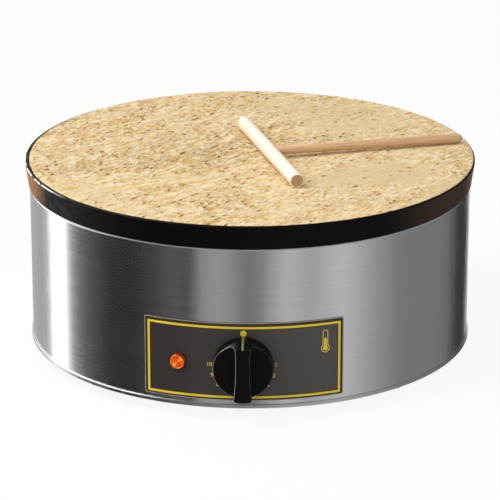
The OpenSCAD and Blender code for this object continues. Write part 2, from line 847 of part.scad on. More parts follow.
module pilot_body() {
    color("#d8d2c4") on_wall(lamp_angle, lamp_z, label_r) {
        hole(lamp_hole_d - 2.4 - fit, -lamp_body_l, lens_seat_z - fit);
        for (x = [-1, 1])
            translate([x * 2.6 - tab_t / 2, -2.4, -lamp_body_l - tab_l]) cube([tab_t, 4.8, tab_l + 0.5]);
    }
}

module pilot_clip() {
    color(bright_steel) on_wall(lamp_angle, lamp_z, label_r)
        translate([0, 0, shell_in_r - label_r - 2.3]) ring(lamp_hole_d + 6, lamp_hole_d + fit, 1.6);
}

// ---- Cable gland ----

module gland_body() {
    color(plastic_black) on_wall(180, gland_z) difference() {
        union() {
            rotate(30) cylinder(d = gland_hex / cos(30), h = gland_flange_t, $fn = 6);
            hole(gland_thread_d, -10, 1);
            hole(gland_thread_d - 2, gland_flange_t - 1, gland_flange_t + 8);
        }
        hole(gland_thread_d - 5, -11, gland_flange_t + 9);
    }
}

module gland_seal() {
    color(rubber_black) on_wall(180, gland_z)
        translate([0, 0, gland_flange_t - 4]) ring(gland_thread_d - 5 - fit, cord_bore_d, 15);
}

module gland_cap() {
    over_thread = gland_thread_d - 2 + fit;
    top = gland_cap_l;
    color(plastic_black) on_wall(180, gland_z) translate([0, 0, gland_flange_t]) difference() {
        union() {
            rotate(30) cylinder(d = gland_hex / cos(30), h = top - 9, $fn = 6);
            rotate_extrude() polygon(concat(
                [[0, 1], [gland_hex / 2, 1], [gland_hex / 2, top - 8]],
                arc([gland_hex / 2 - 8, top - 8], 8, 0, 60, 5),
                [[gland_hex / 2 - 5, top], [0, top]]
            ));
        }
        hole(over_thread, -cut, 12);
        hole(cord_bore_d + 2, -cut, top + cut);
    }
}

module gland_locknut() {
    color(plastic_black) on_wall(180, gland_z, shell_in_r) {
        translate([0, 0, -5 - 1.4]) nut(gland_hex + 2, gland_thread_d + fit, 5);
    }
}

// ---- Wiring ----

module terminal_block() {
    pitch = block_size.x / 3;
    color(ceramic) translate([block_at.x, block_at.y, floor_z]) difference() {
        union() {
            translate([-block_size.x / 2, -block_size.y / 2, 0])
                cube([block_size.x, block_size.y, block_size.z - 5]);
            for (i = [-1:1])
                translate([i * pitch - 4.5, -block_size.y / 2, 0]) cube([9, block_size.y, block_size.z]);
        }
        for (i = [-1:1]) {
            translate([i * pitch, -block_size.y / 2 - cut, 7])
                rotate([-90, 0, 0]) cylinder(d = 4.4, h = block_size.y + 2 * cut);
            for (y = [-1, 1]) translate([i * pitch, y * 5, 0]) hole(4, 7, block_size.z + cut);
        }
    }
}

module terminal_screws() {
    pitch = block_size.x / 3;
    color("#c9a64b") for (i = [-1:1], y = [-1, 1])
        translate([block_at.x + i * pitch, block_at.y + y * 5, floor_z]) difference() {
            hole(4 - fit, 9.4, block_size.z - 1);
            translate([-2.5, -0.4, block_size.z - 2]) cube([5, 0.8, 2]);
        }
}

module earth_stud() {
    color(zinc) translate([earth_at.x, earth_at.y, floor_z]) {
        hole(10, 0, 1.5);
        hole(5, 1, 16);
    }
}

module earth_nut() {
    color(zinc) translate([earth_at.x, earth_at.y, floor_z + 4.2]) nut(8, 5 + fit, 4);
}

block_front_y = block_at.y - block_size.y / 2;
block_hole_z = floor_z + 7;
tab_end_y = saddle_flat_y + housing_l + base_l + tab_l;
leg_tab_z = leg_low_z - 5 - tab_l;

module live_wire() {
    start = [block_at.x - block_size.x / 3, block_front_y, block_hole_z];
    color("#7a4a21") wire([
        start, start + [0, -14, 0], [-64, 70, 20], [-66, 0, 20], [-58, -70, 20], [-30, -118, 30],
        [-tab_x, tab_end_y + 16, knob_z], [-tab_x, tab_end_y, knob_z],
    ], wire_d, across = [0, 0, 1]);
}

module neutral_wire() {
    start = [block_at.x, block_front_y, block_hole_z];
    color("#2f5fa8") wire([
        start, start + [0, -14, 0], [-20, 76, 24], [40, 54, 36], [100, 34, 60], [138, 18, 82],
        [spiral_end_x, bend_r, leg_tab_z - 14], [spiral_end_x, bend_r, leg_tab_z],
    ], wire_d, across = [0.2, 1, 0]);
}

module element_wire() {
    color("#7a4a21") wire([
        [tab_x, tab_end_y, knob_z], [tab_x, tab_end_y + 16, knob_z],
        [24, -110, 58], [48, -60, 72], [56, -26, 84],
        [spiral_start_x, -bend_r, leg_tab_z - 12], [spiral_start_x, -bend_r, leg_tab_z],
    ], wire_d, across = [1, 0, 0]);
}

module earth_wire() {
    start = [block_at.x + block_size.x / 3, block_front_y, block_hole_z];
    color("#4f8a2c") {
        wire([
            start, start + [0, -10, 0], start + [13, -21, 1],
            [earth_at.x - 24, earth_at.y - 34, floor_z + 8], [earth_at.x - 6, earth_at.y - 20, floor_z + 7],
            [earth_at.x, earth_at.y - 6, floor_z + 2.7],
        ], wire_d * 0.8, across = [0, 0, 1]);
        translate([earth_at.x, earth_at.y, floor_z + 1.6]) ring(11, 5.4, 2.4);
    }
}

// One wire goes back to the terminal block, the other up to the thermal cutout
lamp_wire_routes = [
    [[-48, -96, 34], [-52, -40, 30], [-50, 40, 30], [-44, 84, 26],
     [block_at.x - 5, block_front_y - 0.1, floor_z + 3]],
    [[-22, -112, 62], [-20, -60, 74], [-24, 20, 96], [cutout_at.x + 5, cutout_at.y - 12, tray_low_z - 36],
     [cutout_at.x + 5, cutout_at.y, tray_low_z - 9 - tab_l]],
];

module lamp_wires() {
    outward = [sin(lamp_angle), -cos(lamp_angle)];
    across = [cos(lamp_angle), sin(lamp_angle)];
    tab_r = label_r - lamp_body_l - tab_l;
    color("#8c8c88") for (i = [0, 1]) {
        tab = tab_r * outward + (2 * i - 1) * 2.6 * across;
        bend = tab - 22 * outward + (2 * i - 1) * 4 * across;
        wire(concat(
            [[tab.x, tab.y, lamp_z], [tab.x - 10 * outward.x, tab.y - 10 * outward.y, lamp_z],
             [bend.x, bend.y, lamp_z - 6]],
            lamp_wire_routes[i]
        ), 1.6, across = i == 0 ? [0, 0, 1] : [1, 0, 0.1]);
    }
}

// ---- Crepe and spreader ----

module crepe() {
    r = plate_r - crepe_margin;
    color("#e6c58c") rotate_extrude() polygon([
        [0, crepe_z], [r - 0.4, crepe_z], [r, crepe_z + crepe_t * 0.4], [r - 0.8, crepe_z + crepe_t * 0.85],
        [r - 2.5, crepe_z + crepe_t], [0, crepe_z + crepe_t],
    ]);
}

// Local frame: the crossbar lies along Y, the handle leaves it along +X
module on_crepe() {
    translate([spreader_at.x, spreader_at.y, bar_z]) rotate(spreader_turn) children();
}

socket_l = 3;

module spreader_crossbar() {
    bevel = 0.8;
    color("#f0e2c4") on_crepe() difference() {
        rotate([90, 0, 0]) rotate_extrude() polygon([
            [0, -bar_l / 2], [bar_d / 2 - bevel, -bar_l / 2], [bar_d / 2, bevel - bar_l / 2],
            [bar_d / 2, bar_l / 2 - bevel], [bar_d / 2 - bevel, bar_l / 2], [0, bar_l / 2],
        ]);
        rotate([0, 90 + handle_tilt, 0]) hole(handle_d + fit, -socket_l, bar_d);
    }
}

module spreader_handle() {
    tip = handle_d / 2;
    color("#c69a63") on_crepe() rotate([0, 90 + handle_tilt, 0]) rotate_extrude() polygon(concat(
        [[0, -socket_l], [handle_d / 2, -socket_l], [handle_d / 2, handle_l - tip]],
        arc([0, handle_l - tip], tip, 10, 90, 7)
    ));
}

griddle_plate();
body_shell();
seam_rivets();
base_pan();
foot_front_left();
foot_front_right();
foot_rear_left();
foot_rear_right();
foot_screws();
foot_nuts();
tie_rods();
tie_rod_nuts();
heating_element();
element_terminals();
element_bushes();
clamp_bars();
clamp_studs();
clamp_nuts();
insulation_disc();
reflector_tray();
tray_nuts();
thermal_cutout();
cutout_rivets();
sensor_bulb();
bulb_clip();
clip_screws();
capillary_tube();
control_label();
saddle_plate();
thermostat_housing();
thermostat_base();
thermostat_screws();
thermostat_shaft();
knob_spring();
control_knob();
pilot_bezel();
pilot_lens();
pilot_body();
pilot_clip();
gland_body();
gland_seal();
gland_cap();
gland_locknut();
terminal_block();
terminal_screws();
earth_stud();
earth_nut();
live_wire();
neutral_wire();
element_wire();
earth_wire();
lamp_wires();
crepe();
spreader_crossbar();
spreader_handle();
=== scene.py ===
import json
import math
import random

import bmesh
import bpy
import numpy as np
from mathutils import Matrix, Vector, noise
from mathutils.bvhtree import BVHTree


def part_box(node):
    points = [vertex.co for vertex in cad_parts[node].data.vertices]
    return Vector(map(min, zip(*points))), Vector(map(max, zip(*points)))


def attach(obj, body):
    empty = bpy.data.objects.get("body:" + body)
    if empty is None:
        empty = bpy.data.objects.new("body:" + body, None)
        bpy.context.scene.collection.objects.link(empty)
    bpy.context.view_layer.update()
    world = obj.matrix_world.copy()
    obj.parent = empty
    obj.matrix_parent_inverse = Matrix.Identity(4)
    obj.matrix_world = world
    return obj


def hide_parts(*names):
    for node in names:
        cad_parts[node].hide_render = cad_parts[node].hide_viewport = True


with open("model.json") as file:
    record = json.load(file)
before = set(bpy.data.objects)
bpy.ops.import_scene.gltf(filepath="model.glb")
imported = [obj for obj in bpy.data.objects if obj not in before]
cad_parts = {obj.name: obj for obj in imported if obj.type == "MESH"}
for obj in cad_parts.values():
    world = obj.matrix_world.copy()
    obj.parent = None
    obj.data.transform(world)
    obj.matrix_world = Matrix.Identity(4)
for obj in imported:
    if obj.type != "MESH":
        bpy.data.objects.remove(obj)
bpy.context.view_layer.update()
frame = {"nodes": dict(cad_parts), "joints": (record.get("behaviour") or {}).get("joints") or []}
nodes = frame["nodes"]


def mm(*lengths):
    metres = [v / 1000 for v in lengths]
    return metres[0] if len(metres) == 1 else Vector(metres)


def tone(red, green, blue):
    """A colour as it looks on a screen, 0 to 255, as the shader's linear colour."""
    shares = [v / 255 for v in (red, green, blue)]
    return [v / 12.92 if v <= 0.04045 else ((v + 0.055) / 1.055) ** 2.4 for v in shares] + [1.0]


# ---- Sizes taken from the frame ----

plate_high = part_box("griddle_plate")[1]
crepe_low, crepe_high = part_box("crepe")
label_low, label_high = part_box("control_label")
shell_low, shell_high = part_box("body_shell")
knob_low, knob_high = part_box("control_knob")
lens_low, lens_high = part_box("pilot_lens")
CREPE_R = crepe_high.x
LABEL_R = -label_low.y
LABEL_HALF = LABEL_R * math.asin(label_high.x / LABEL_R)    # half its width, measured round the drum
KNOB_AXIS = Vector(next(j["pos_m"] for j in frame["joints"] if j["name"] == "knob_turn"))
STROKE_ANGLE = 43    # degrees from +X: the way in which the batter was drawn out
CRUMB_ANGLE = 60     # degrees from +X: the way in which its small pits and crumbs lie


# ---- Mesh helpers ----

def in_scene(name, data):
    """A new object of the given data, linked to the scene."""
    made = bpy.data.objects.new(name, data)
    bpy.context.scene.collection.objects.link(made)
    return made


def mesh_of(name, verts, faces):
    mesh = bpy.data.meshes.new(name)
    mesh.from_pydata(verts, [], faces)
    return mesh


def ring_walls(rings, count):
    """Faces between each ring of so many points and the next."""
    faces = []
    for k in range(rings - 1):
        for i in range(count):
            j = (i + 1) % count
            faces.append((k * count + i, k * count + j, (k + 1) * count + j, (k + 1) * count + i))
    return faces


def piece(name, mesh, finish, body, stands_for=(), smooth=True):
    """Puts a finished mesh into the scene as a piece that rides on a body."""
    mesh.materials.clear()
    mesh.materials.append(finish.material)
    mesh.polygons.foreach_set("use_smooth", [smooth] * len(mesh.polygons))
    made = in_scene(name, mesh)
    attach(made, body)
    if stands_for:
        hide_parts(*stands_for)
    return made


def finished_mesh(made, *modifiers):
    """The mesh of an object, with the given modifiers applied. The object itself is thrown away."""
    for kind, settings in modifiers:
        modifier = made.modifiers.new(kind, kind)
        for setting, value in settings.items():
            setattr(modifier, setting, value)
    graph = bpy.context.evaluated_depsgraph_get()
    graph.update()
    mesh = bpy.data.meshes.new_from_object(made.evaluated_get(graph), depsgraph=graph)
    bpy.data.objects.remove(made)
    return mesh


def mesh_from(form, name):
    """Turns an edited form into a mesh and frees it."""
    mesh = bpy.data.meshes.new(name)
    form.to_mesh(mesh)
    form.free()
    return mesh


def merged_copy(node):
    """A copy of a CAD node whose loose triangles are joined at their corners."""
    form = bmesh.new()
    form.from_mesh(nodes[node].data)
    bmesh.ops.remove_doubles(form, verts=form.verts, dist=mm(0.002))
    return in_scene(node + " copy", mesh_from(form, node + " copy"))


# ---- Camera ----

def place_camera():
    azimuth, pitch = math.radians(1.63), math.radians(19.355)
    distance, rise = 2.52725, 0.79735    # in plan from the drum's axis, and over the plate
    camera = in_scene("camera", bpy.data.cameras.new("camera"))
    camera.location = (distance * math.sin(azimuth), -distance * math.cos(azimuth), plate_high.z + rise)
    camera.rotation_euler = (math.pi / 2 - pitch, 0, azimuth)
    camera.data.sensor_width = 36
    camera.data.lens = 214.06
    camera.data.clip_end = 60
    bpy.context.scene.camera = camera


place_camera()


# ---- Node helpers ----

NOISE_REACH = 0.3, 0.7    # what a noise mostly lies between


def feed(tree, socket, value):
    """Gives a socket a value, or links it where the value is another node's output."""
    if isinstance(value, bpy.types.NodeSocket):
        tree.links.new(value, socket)
    else:
        socket.default_value = value


def add_node(tree, kind, inputs=None, **settings):
    """Adds a node and gives its outputs."""
    made = tree.nodes.new(kind)
    for setting, value in settings.items():
        setattr(made, setting, value)
    for socket, value in (inputs or {}).items():
        feed(tree, made.inputs[socket], value)
    return made.outputs


class Finish:
    """One material: a Principled shader, and short calls that add nodes in front of it."""

    def __init__(self, name, colour, roughness, metallic=0.0, **sockets):
        self.material = bpy.data.materials.new(name)
        self.material.use_nodes = True
        self.tree = self.material.node_tree
        self.shader = self.tree.nodes["Principled BSDF"]
        self.place = self.node("TexCoord")["Object"]
        self.set("Base Color", colour)
        self.set("Roughness", roughness)
        self.set("Metallic", metallic)
        for socket, value in sockets.items():
            self.set(socket.replace("_", " "), value)

    def node(self, kind, inputs=None, **settings):
        return add_node(self.tree, "ShaderNode" + kind, inputs, **settings)

    def set(self, socket, value):
        feed(self.tree, self.shader.inputs[socket], value)

    def math(self, operation, a, b=0.0):
        return self.node("Math", {0: a, 1: b}, operation=operation)[0]

    def times(self, a, b):
        return self.math("MULTIPLY", a, b)

    def plus(self, a, b):
        return self.math("ADD", a, b)

    def minus(self, a, b):
        return self.math("SUBTRACT", a, b)

    def stretch(self, scale, turn=0.0, start=(0, 0, 0)):
        """Coordinates measured from start in a frame turned by so many degrees round Z, times scale."""
        return self.node("Mapping", {
            "Vector": self.place, "Location": start, "Scale": [1 / factor for factor in scale],
            "Rotation": (0, 0, math.radians(turn)),
        }, vector_type="TEXTURE")[0]

    def noise(self, scale, detail=3.0, place=None, roughness=0.55, distortion=0.0):
        return self.node("TexNoise", {
            "Vector": place or self.place, "Scale": scale, "Detail": detail, "Roughness": roughness,
            "Distortion": distortion,
        })["Fac"]

    def span(self, value, low, high, to_low=0.0, to_high=1.0):
        """Maps low..high to to_low..to_high, smoothly and without going past them."""
        ends = {0: value, 1: low, 2: high, 3: to_low, 4: to_high}
        return self.node("MapRange", ends, interpolation_type="SMOOTHSTEP")[0]

    def mix(self, share, a, b):
        return self.node("Mix", {0: share, 6: a, 7: b}, data_type="RGBA")[2]

    def bump(self, height, depth, strength=1.0, under=None):
        """Relief of the given depth in metres, on top of the relief under it."""
        inputs = {"Height": height, "Distance": depth, "Strength": strength}
        if under is not None:
            inputs["Normal"] = under
        return self.node("Bump", inputs)[0]

    def tint(self, share, a, b):
        self.set("Base Color", self.mix(share, a, b))

    def roughen(self, pattern, low, high):
        """Lets the roughness follow a noise from low to high."""
        self.set("Roughness", self.span(pattern, *NOISE_REACH, low, high))

    def emboss(self, height, depth, strength=1.0, under=None):
        self.set("Normal", self.bump(height, depth, strength, under))

    def attribute(self, name):
        return self.node("Attribute", attribute_name=name)["Fac"]

    def xyz(self):
        return self.node("SeparateXYZ", {0: self.place})

    def round_the_drum(self, arc_scale, height_scale):
        """Coordinates that run round the drum and up it, for what was brushed or cast round it."""
        x, y, z = self.xyz()
        arc = self.times(self.math("ARCTAN2", x, self.times(y, -1.0)), arc_scale)
        return self.node("CombineXYZ", {0: arc, 2: self.times(z, height_scale)})[0]


def dress(finish, *names):
    """Gives CAD nodes a finish."""
    for name in names:
        slots = nodes[name].data.materials
        slots.clear()
        slots.append(finish.material)


# ---- Finishes ----

def seasoned_iron():
    """Cast iron with soot on it. Painted reflection browns its two ends and lightens its far right end, and
    painted glints lie along its corner at the left.
    """
    iron = Finish("seasoned cast iron", tone(9, 7, 6), 0.5, Specular_IOR_Level=0.08)
    x, y, z = iron.xyz()
    top = plate_high.z
    patches = iron.noise(11, 4, roughness=0.6)
    soot = iron.mix(patches, tone(4, 3, 3), tone(15, 11, 9))
    on_side = iron.times(iron.span(patches, 0.3, 0.5, 0.6, 1.0), iron.span(z, top - mm(0.5), top - mm(1.4)))
    # Painted reflection: the side is browned towards both ends, and paler still at the far right end.
    left = iron.times(iron.span(x, mm(-170), mm(-190)), on_side)
    right = iron.times(iron.span(x, mm(110), mm(190)), on_side)
    far_right_glare = iron.span(x, mm(186), mm(200))
    ground = iron.mix(left, soot, tone(150, 110, 70))
    ground = iron.mix(right, ground, iron.mix(far_right_glare, tone(66, 51, 42), tone(128, 104, 86)))
    # Painted glints: broken pale marks along the top corner at the left.
    corner_glint = iron.times(iron.span(x, mm(-150), mm(-182)), iron.span(iron.noise(95, 4), 0.42, 0.5))
    off_corner = iron.math("ABSOLUTE", iron.minus(z, top - mm(0.75)))
    corner_glint = iron.times(corner_glint, iron.span(off_corner, mm(0.75), mm(0.45)))
    iron.tint(corner_glint, ground, tone(250, 246, 238))
    iron.roughen(iron.noise(160, 4), 0.42, 0.62)
    grain = iron.bump(iron.noise(520, 4, roughness=0.65), mm(0.3), 0.5)
    iron.emboss(iron.noise(60), mm(0.9), 0.3, grain)
    return iron


def brushed_sheet():
    """Stainless sheet, brushed round the drum. It is a little wavy towards the sides, and a painted highlight
    runs along its rolled top edge.
    """
    sheet = Finish("brushed stainless sheet", (0.62, 0.62, 0.625, 1), 0.24, 1.0, Anisotropic=0.8)
    lines = sheet.noise(1, 2, sheet.round_the_drum(1.6, 700), roughness=0.6)
    wisps = sheet.noise(1, 4, sheet.round_the_drum(14, 26), roughness=0.65, distortion=1.2)
    x, y, z = sheet.xyz()
    # Painted highlight: a band along the rolled top edge, wider and white at the left and grey to the right,
    # made less metallic so that its painted colour shows.
    from_left = sheet.span(x, mm(-165), mm(-90))
    lip_z = sheet.plus(z, sheet.times(from_left, mm(-1.4)))
    lip_highlight = sheet.span(lip_z, shell_high.z - mm(3.4), shell_high.z - mm(2.6))
    strokes = sheet.plus(sheet.times(lines, 0.6), sheet.times(wisps, 0.4))
    brushed = sheet.mix(strokes, (0.54, 0.54, 0.545, 1), (0.7, 0.7, 0.705, 1))
    sheet.tint(lip_highlight, brushed, sheet.mix(from_left, (1, 1, 1, 1), (0.4, 0.4, 0.4, 1)))
    sheet.set("Metallic", sheet.span(lip_highlight, 0.0, 1.0, 1.0, 0.2))
    sheet.roughen(lines, 0.2, 0.24)
    sheet.set("Tangent", sheet.node("Tangent", direction_type="RADIAL", axis="Z")[0])
    sheet.set("Anisotropic Rotation", 0.25)
    side = sheet.span(sheet.math("ABSOLUTE", x), mm(160), mm(194))
    waves = sheet.noise(1, 2, sheet.round_the_drum(9, 22), distortion=0.8)
    sheet.emboss(sheet.times(waves, side), mm(0.7))
    return sheet


def two_tone(name, dark, light, scale, roughness, detail=3, metallic=0.0, **sockets):
    """A finish whose colour wanders between two tones."""
    finish = Finish(name, light, roughness, metallic, **sockets)
    finish.tint(finish.noise(scale, detail), dark, light)
    return finish


def zinc_plate():
    zinc = Finish("zinc plated steel", (0.55, 0.56, 0.56, 1), 0.34, 1.0)
    spangle = zinc.noise(120)
    zinc.tint(spangle, (0.48, 0.49, 0.49, 1), (0.62, 0.62, 0.6, 1))
    zinc.roughen(spangle, 0.28, 0.42)
    return zinc


def bright_steel():
    bright = Finish("bright steel", (0.7, 0.7, 0.71, 1), 0.2, 1.0)
    bright.roughen(bright.noise(300), 0.14, 0.26)
    return bright


def dulled_sheath():
    sheath = two_tone("heat dulled sheath", tone(72, 66, 62), tone(120, 110, 98), 26, 0.55, 4, 0.7)
    sheath.emboss(sheath.noise(700, 2), mm(0.1), 0.4)
    return sheath


def pale_ceramic():
    clay = two_tone("pale steatite", tone(224, 218, 203), tone(239, 235, 224), 90, 0.4)
    clay.emboss(clay.noise(900, 2), mm(0.06), 0.3)
    return clay


def mineral_felt():
    felt = Finish("mineral fibre", tone(228, 219, 198), 0.95)
    fibres = felt.noise(240, 5, felt.stretch((1, 1, 4)), roughness=0.7, distortion=1.0)
    felt.tint(fibres, tone(206, 194, 166), tone(240, 234, 218))
    felt.emboss(fibres, mm(0.8), 0.6)
    return felt


def mill_aluminium():
    tray = Finish("mill aluminium", (0.75, 0.76, 0.77, 1), 0.32, 1.0)
    rolled = tray.noise(30, place=tray.stretch((1, 30, 1)))
    tray.tint(rolled, (0.68, 0.69, 0.7, 1), (0.8, 0.8, 0.81, 1))
    tray.roughen(rolled, 0.26, 0.4)
    return tray


def satin_black():
    """The edge attribute is a painted highlight: 1 on convex edges that face up and to the left, towards the
    light.
    """
    black = Finish("satin black moulding", tone(4, 4, 5), 0.34, Specular_IOR_Level=0.15)
    edge = black.attribute("edge")
    # Painted highlight: those edges are pale, more metallic and smoother.
    black.tint(edge, tone(4, 4, 5), tone(182, 186, 194))
    satin = black.span(black.noise(420), *NOISE_REACH, 0.31, 0.37)
    black.set("Roughness", black.span(edge, 0.0, 1.0, satin, 0.2))
    black.set("Metallic", black.span(edge, 0.2, 0.9))
    black.emboss(black.noise(2400, 2), mm(0.02), 0.12)
    return black


def black_rubber():
    rubber = two_tone("black rubber", tone(20, 20, 20), tone(36, 35, 34), 80, 0.75)
    rubber.emboss(rubber.noise(900), mm(0.12), 0.4)
    return rubber


def label_foil():
    foil = Finish("printed foil", tone(60, 54, 51), 0.38, Specular_IOR_Level=0.3)
    # Painted shading: the foil is darker towards its left and lighter towards its right.
    foil.tint(foil.span(foil.xyz()[0], mm(-80), mm(80)), tone(52, 46, 44), tone(71, 67, 63))
    foil.roughen(foil.noise(600, 2), 0.34, 0.42)
    return foil


def amber_plastic():
    """Clear amber, lit from behind. The glow attribute gives each face's brightness: the lamp's light through
    it, with painted highlights where it is high and painted shade where it is low.
    """
    amber = Finish("clear amber plastic", tone(230, 92, 14), 0.08, IOR=1.49)
    glow_with_painted_light = amber.attribute("glow_with_painted_light")
    low, high = amber.span(glow_with_painted_light, 0.0, 0.5), amber.span(glow_with_painted_light, 0.5, 1.0)
    for socket, dim, lit, bright in (
        ("Base Color", tone(28, 4, 1), tone(150, 44, 10), tone(176, 104, 22)),
        ("Emission Color", tone(20, 2, 0), tone(236, 88, 24), tone(255, 166, 30)),
    ):
        amber.set(socket, amber.mix(high, amber.mix(low, dim, lit), bright))
    amber.set("Emission Strength", 0.44)
    amber.roughen(amber.noise(900, 2), 0.05, 0.12)
    return amber


def baked_batter():
    """The toast attribute is above 0 where the batter is brown and where painted shade lines lie beside its
    ridges, and below 0 on ridge crests painted as highlights. The film attribute is 1 where it is drawn out
    smooth and below 0 where it is busiest. Pits lie in streaks."""
    batter = Finish("baked batter", tone(226, 200, 150), 0.75, Specular_IOR_Level=0.0)
    times, plus, minus, span, mix = batter.times, batter.plus, batter.minus, batter.span, batter.mix
    toast_and_painted_light, film = batter.attribute("toast_and_painted_light"), batter.attribute("film")
    lively = minus(0.85, times(film, 0.85))

    def streaked(scale, detail, slimness, turn, start=(0, 0, 0), roughness=0.6, distortion=0.0):
        """Noise whose spots lie along a direction."""
        return batter.noise(scale, detail, batter.stretch((1, slimness, 1), turn, start), roughness, distortion)

    knots = times(span(streaked(24, 4, 2.2, STROKE_ANGLE), 0.36, 0.6), lively)
    crumbly = span(knots, 0.0, 1.0, 0.3, 1.0)
    drawn = streaked(84, 4, 2.2, STROKE_ANGLE + 6, roughness=0.62, distortion=0.5)
    drawn = times(minus(drawn, 0.5), lively)
    crumbs = streaked(190, 3, 2.1, CRUMB_ANGLE)
    # The crumbs a step towards the light: where they stand higher, the batter faces away from the light.
    beside = streaked(190, 3, 2.1, CRUMB_ANGLE, mm(1.2, 0.6, 0))
    away_from_light = times(minus(beside, crumbs), crumbly)
    crumbs = times(minus(crumbs, 0.5), crumbly)
    folds = minus(streaked(95, 2, 2.4, STROKE_ANGLE, roughness=0.5, distortion=1.0), 0.5)
    # Thin raised threads along the folds, painted pale as highlights.
    thread_and_highlight = times(span(batter.math("ABSOLUTE", folds), 0.034, 0.006), knots)
    # Painted shade: a line beside each fold, on the side that the light leaves dark.
    lee_shade = times(span(batter.math("ABSOLUTE", minus(folds, 0.05)), 0.03, 0.006), knots)
    golden = span(streaked(75, 3, 2.0, STROKE_ANGLE, mm(40, 0, 0)), 0.52, 0.68)
    golden = times(golden, span(knots, 0.0, 1.0, 0.15, 0.8))

    # Pits: one in each cell that has burst, with a raised rim round it that is painted pale as a highlight
    wander = batter.node("TexNoise", {"Vector": batter.place, "Scale": 110.0, "Detail": 2.0})
    wander = batter.node("VectorMath", {0: wander["Color"], "Scale": mm(7)}, operation="SCALE")
    spot = batter.node("VectorMath", {0: batter.stretch((0.5, 1, 1), CRUMB_ANGLE), 1: wander[0]})
    cells = batter.node("TexVoronoi", {"Vector": spot[0], "Scale": 235.0}, voronoi_dimensions="2D")
    pick = batter.node("SeparateColor", {0: cells["Color"]})
    burst = batter.math("LESS_THAN", pick[0], times(knots, 0.3))
    reach = span(pick[1], 0.0, 1.0, 0.18, 0.42)
    pit = span(cells["Distance"], reach, times(reach, 0.45))
    rim_and_highlight = span(cells["Distance"], times(reach, 1.8), times(reach, 0.9))
    pit, rim_and_highlight = times(pit, burst), times(rim_and_highlight, burst)

    lumps = plus(times(drawn, 0.5), times(crumbs, 0.6))
    # Painted shade and highlight: the batter is browner where its relief lies low and paler where it stands
    # high.
    ground = mix(span(lumps, -0.12, 0.12), tone(214, 172, 98), tone(252, 237, 206))
    coats = (
        (times(batter.noise(13), 0.4), tone(230, 210, 168)),
        (span(film, 0.0, 1.0, 0.0, 0.65), tone(204, 184, 140)),
        # Painted shade on slopes that face away from the light, and painted highlight on slopes that face it
        (span(away_from_light, 0.02, 0.18, 0.0, 0.75), tone(212, 156, 66)),
        (span(away_from_light, -0.03, -0.22, 0.0, 0.3), tone(255, 244, 214)),
        (times(golden, 0.6), tone(216, 162, 74)),
        (times(lee_shade, 0.7), tone(212, 152, 60)),
        # Painted highlights on the rims round the pits and on the threads
        (batter.math("MAXIMUM", times(rim_and_highlight, 0.2), times(thread_and_highlight, 0.6)), tone(255, 242, 206)),
        # Painted highlight on the ridge crests
        (span(toast_and_painted_light, 0.0, -0.7, 0.0, 0.65), tone(253, 241, 206)),
        # Browning, and the painted shade lines beside the ridges
        (span(toast_and_painted_light, 0.03, 0.8), tone(194, 142, 56)),
        (times(pit, 0.95), tone(164, 106, 10)),
    )
    for share, colour in coats:
        ground = mix(share, ground, colour)
    batter.set("Base Color", ground)

    height = plus(times(drawn, 3.3), times(crumbs, 1.2))
    height = plus(height, times(plus(rim_and_highlight, thread_and_highlight), 0.45))
    batter.emboss(minus(height, times(pit, 0.6)), mm(1))
    return batter


def turned_wood(name, dark, light, end_grain, along):
    """Wood whose grain runs along a direction in plan. The cut attribute is 1 on the end grain."""
    wood = Finish(name, light, 0.55)
    turn = math.degrees(math.atan2(along.y, along.x))
    fibres = wood.noise(40, 4, wood.stretch((1, 26, 26), turn), roughness=0.6, distortion=0.2)
    flecks = wood.noise(90, place=wood.stretch((1, 9, 9), turn))
    long_grain = wood.mix(wood.span(fibres, *NOISE_REACH), dark, light)
    long_grain = wood.mix(wood.span(flecks, 0.62, 0.76, 0, 0.35), long_grain, dark)
    pores = wood.mix(wood.noise(900), end_grain, [v * 0.72 for v in end_grain[:3]] + [1])
    wood.tint(wood.attribute("cut"), long_grain, pores)
    wood.roughen(fibres, 0.6, 0.48)
    wood.emboss(fibres, mm(0.15), 0.35)
    return wood


BLACK = satin_black()
MARGIN_PRINT = two_tone(
    "dark margin print", tone(50, 37, 3), tone(62, 49, 9), 500, 0.45, Specular_IOR_Level=0.35)
FOIL_EDGE = two_tone("foil's cut edge", tone(128, 125, 120), tone(168, 165, 160), 160, 0.4)
YELLOW_PRINT = two_tone("yellow print", tone(200, 172, 40), tone(222, 196, 64), 700, 0.45)
NUMERAL_PRINT = two_tone("numeral print", tone(206, 166, 72), tone(224, 188, 98), 900, 0.5)
INDEX_PAINT = two_tone("index paint", tone(100, 102, 52), tone(122, 124, 72), 900, 0.5)
COPPER = two_tone("bare copper", (0.55, 0.28, 0.17, 1), (0.8, 0.47, 0.3, 1), 60, 0.3, 4, 1.0)
BRASS = two_tone("brass", (0.66, 0.48, 0.2, 1), (0.8, 0.62, 0.3, 1), 120, 0.28, 3, 1.0)
LAMP_RIM = two_tone("red brown plastic", tone(50, 12, 4), tone(74, 20, 8), 300, 0.6, Specular_IOR_Level=0.1)

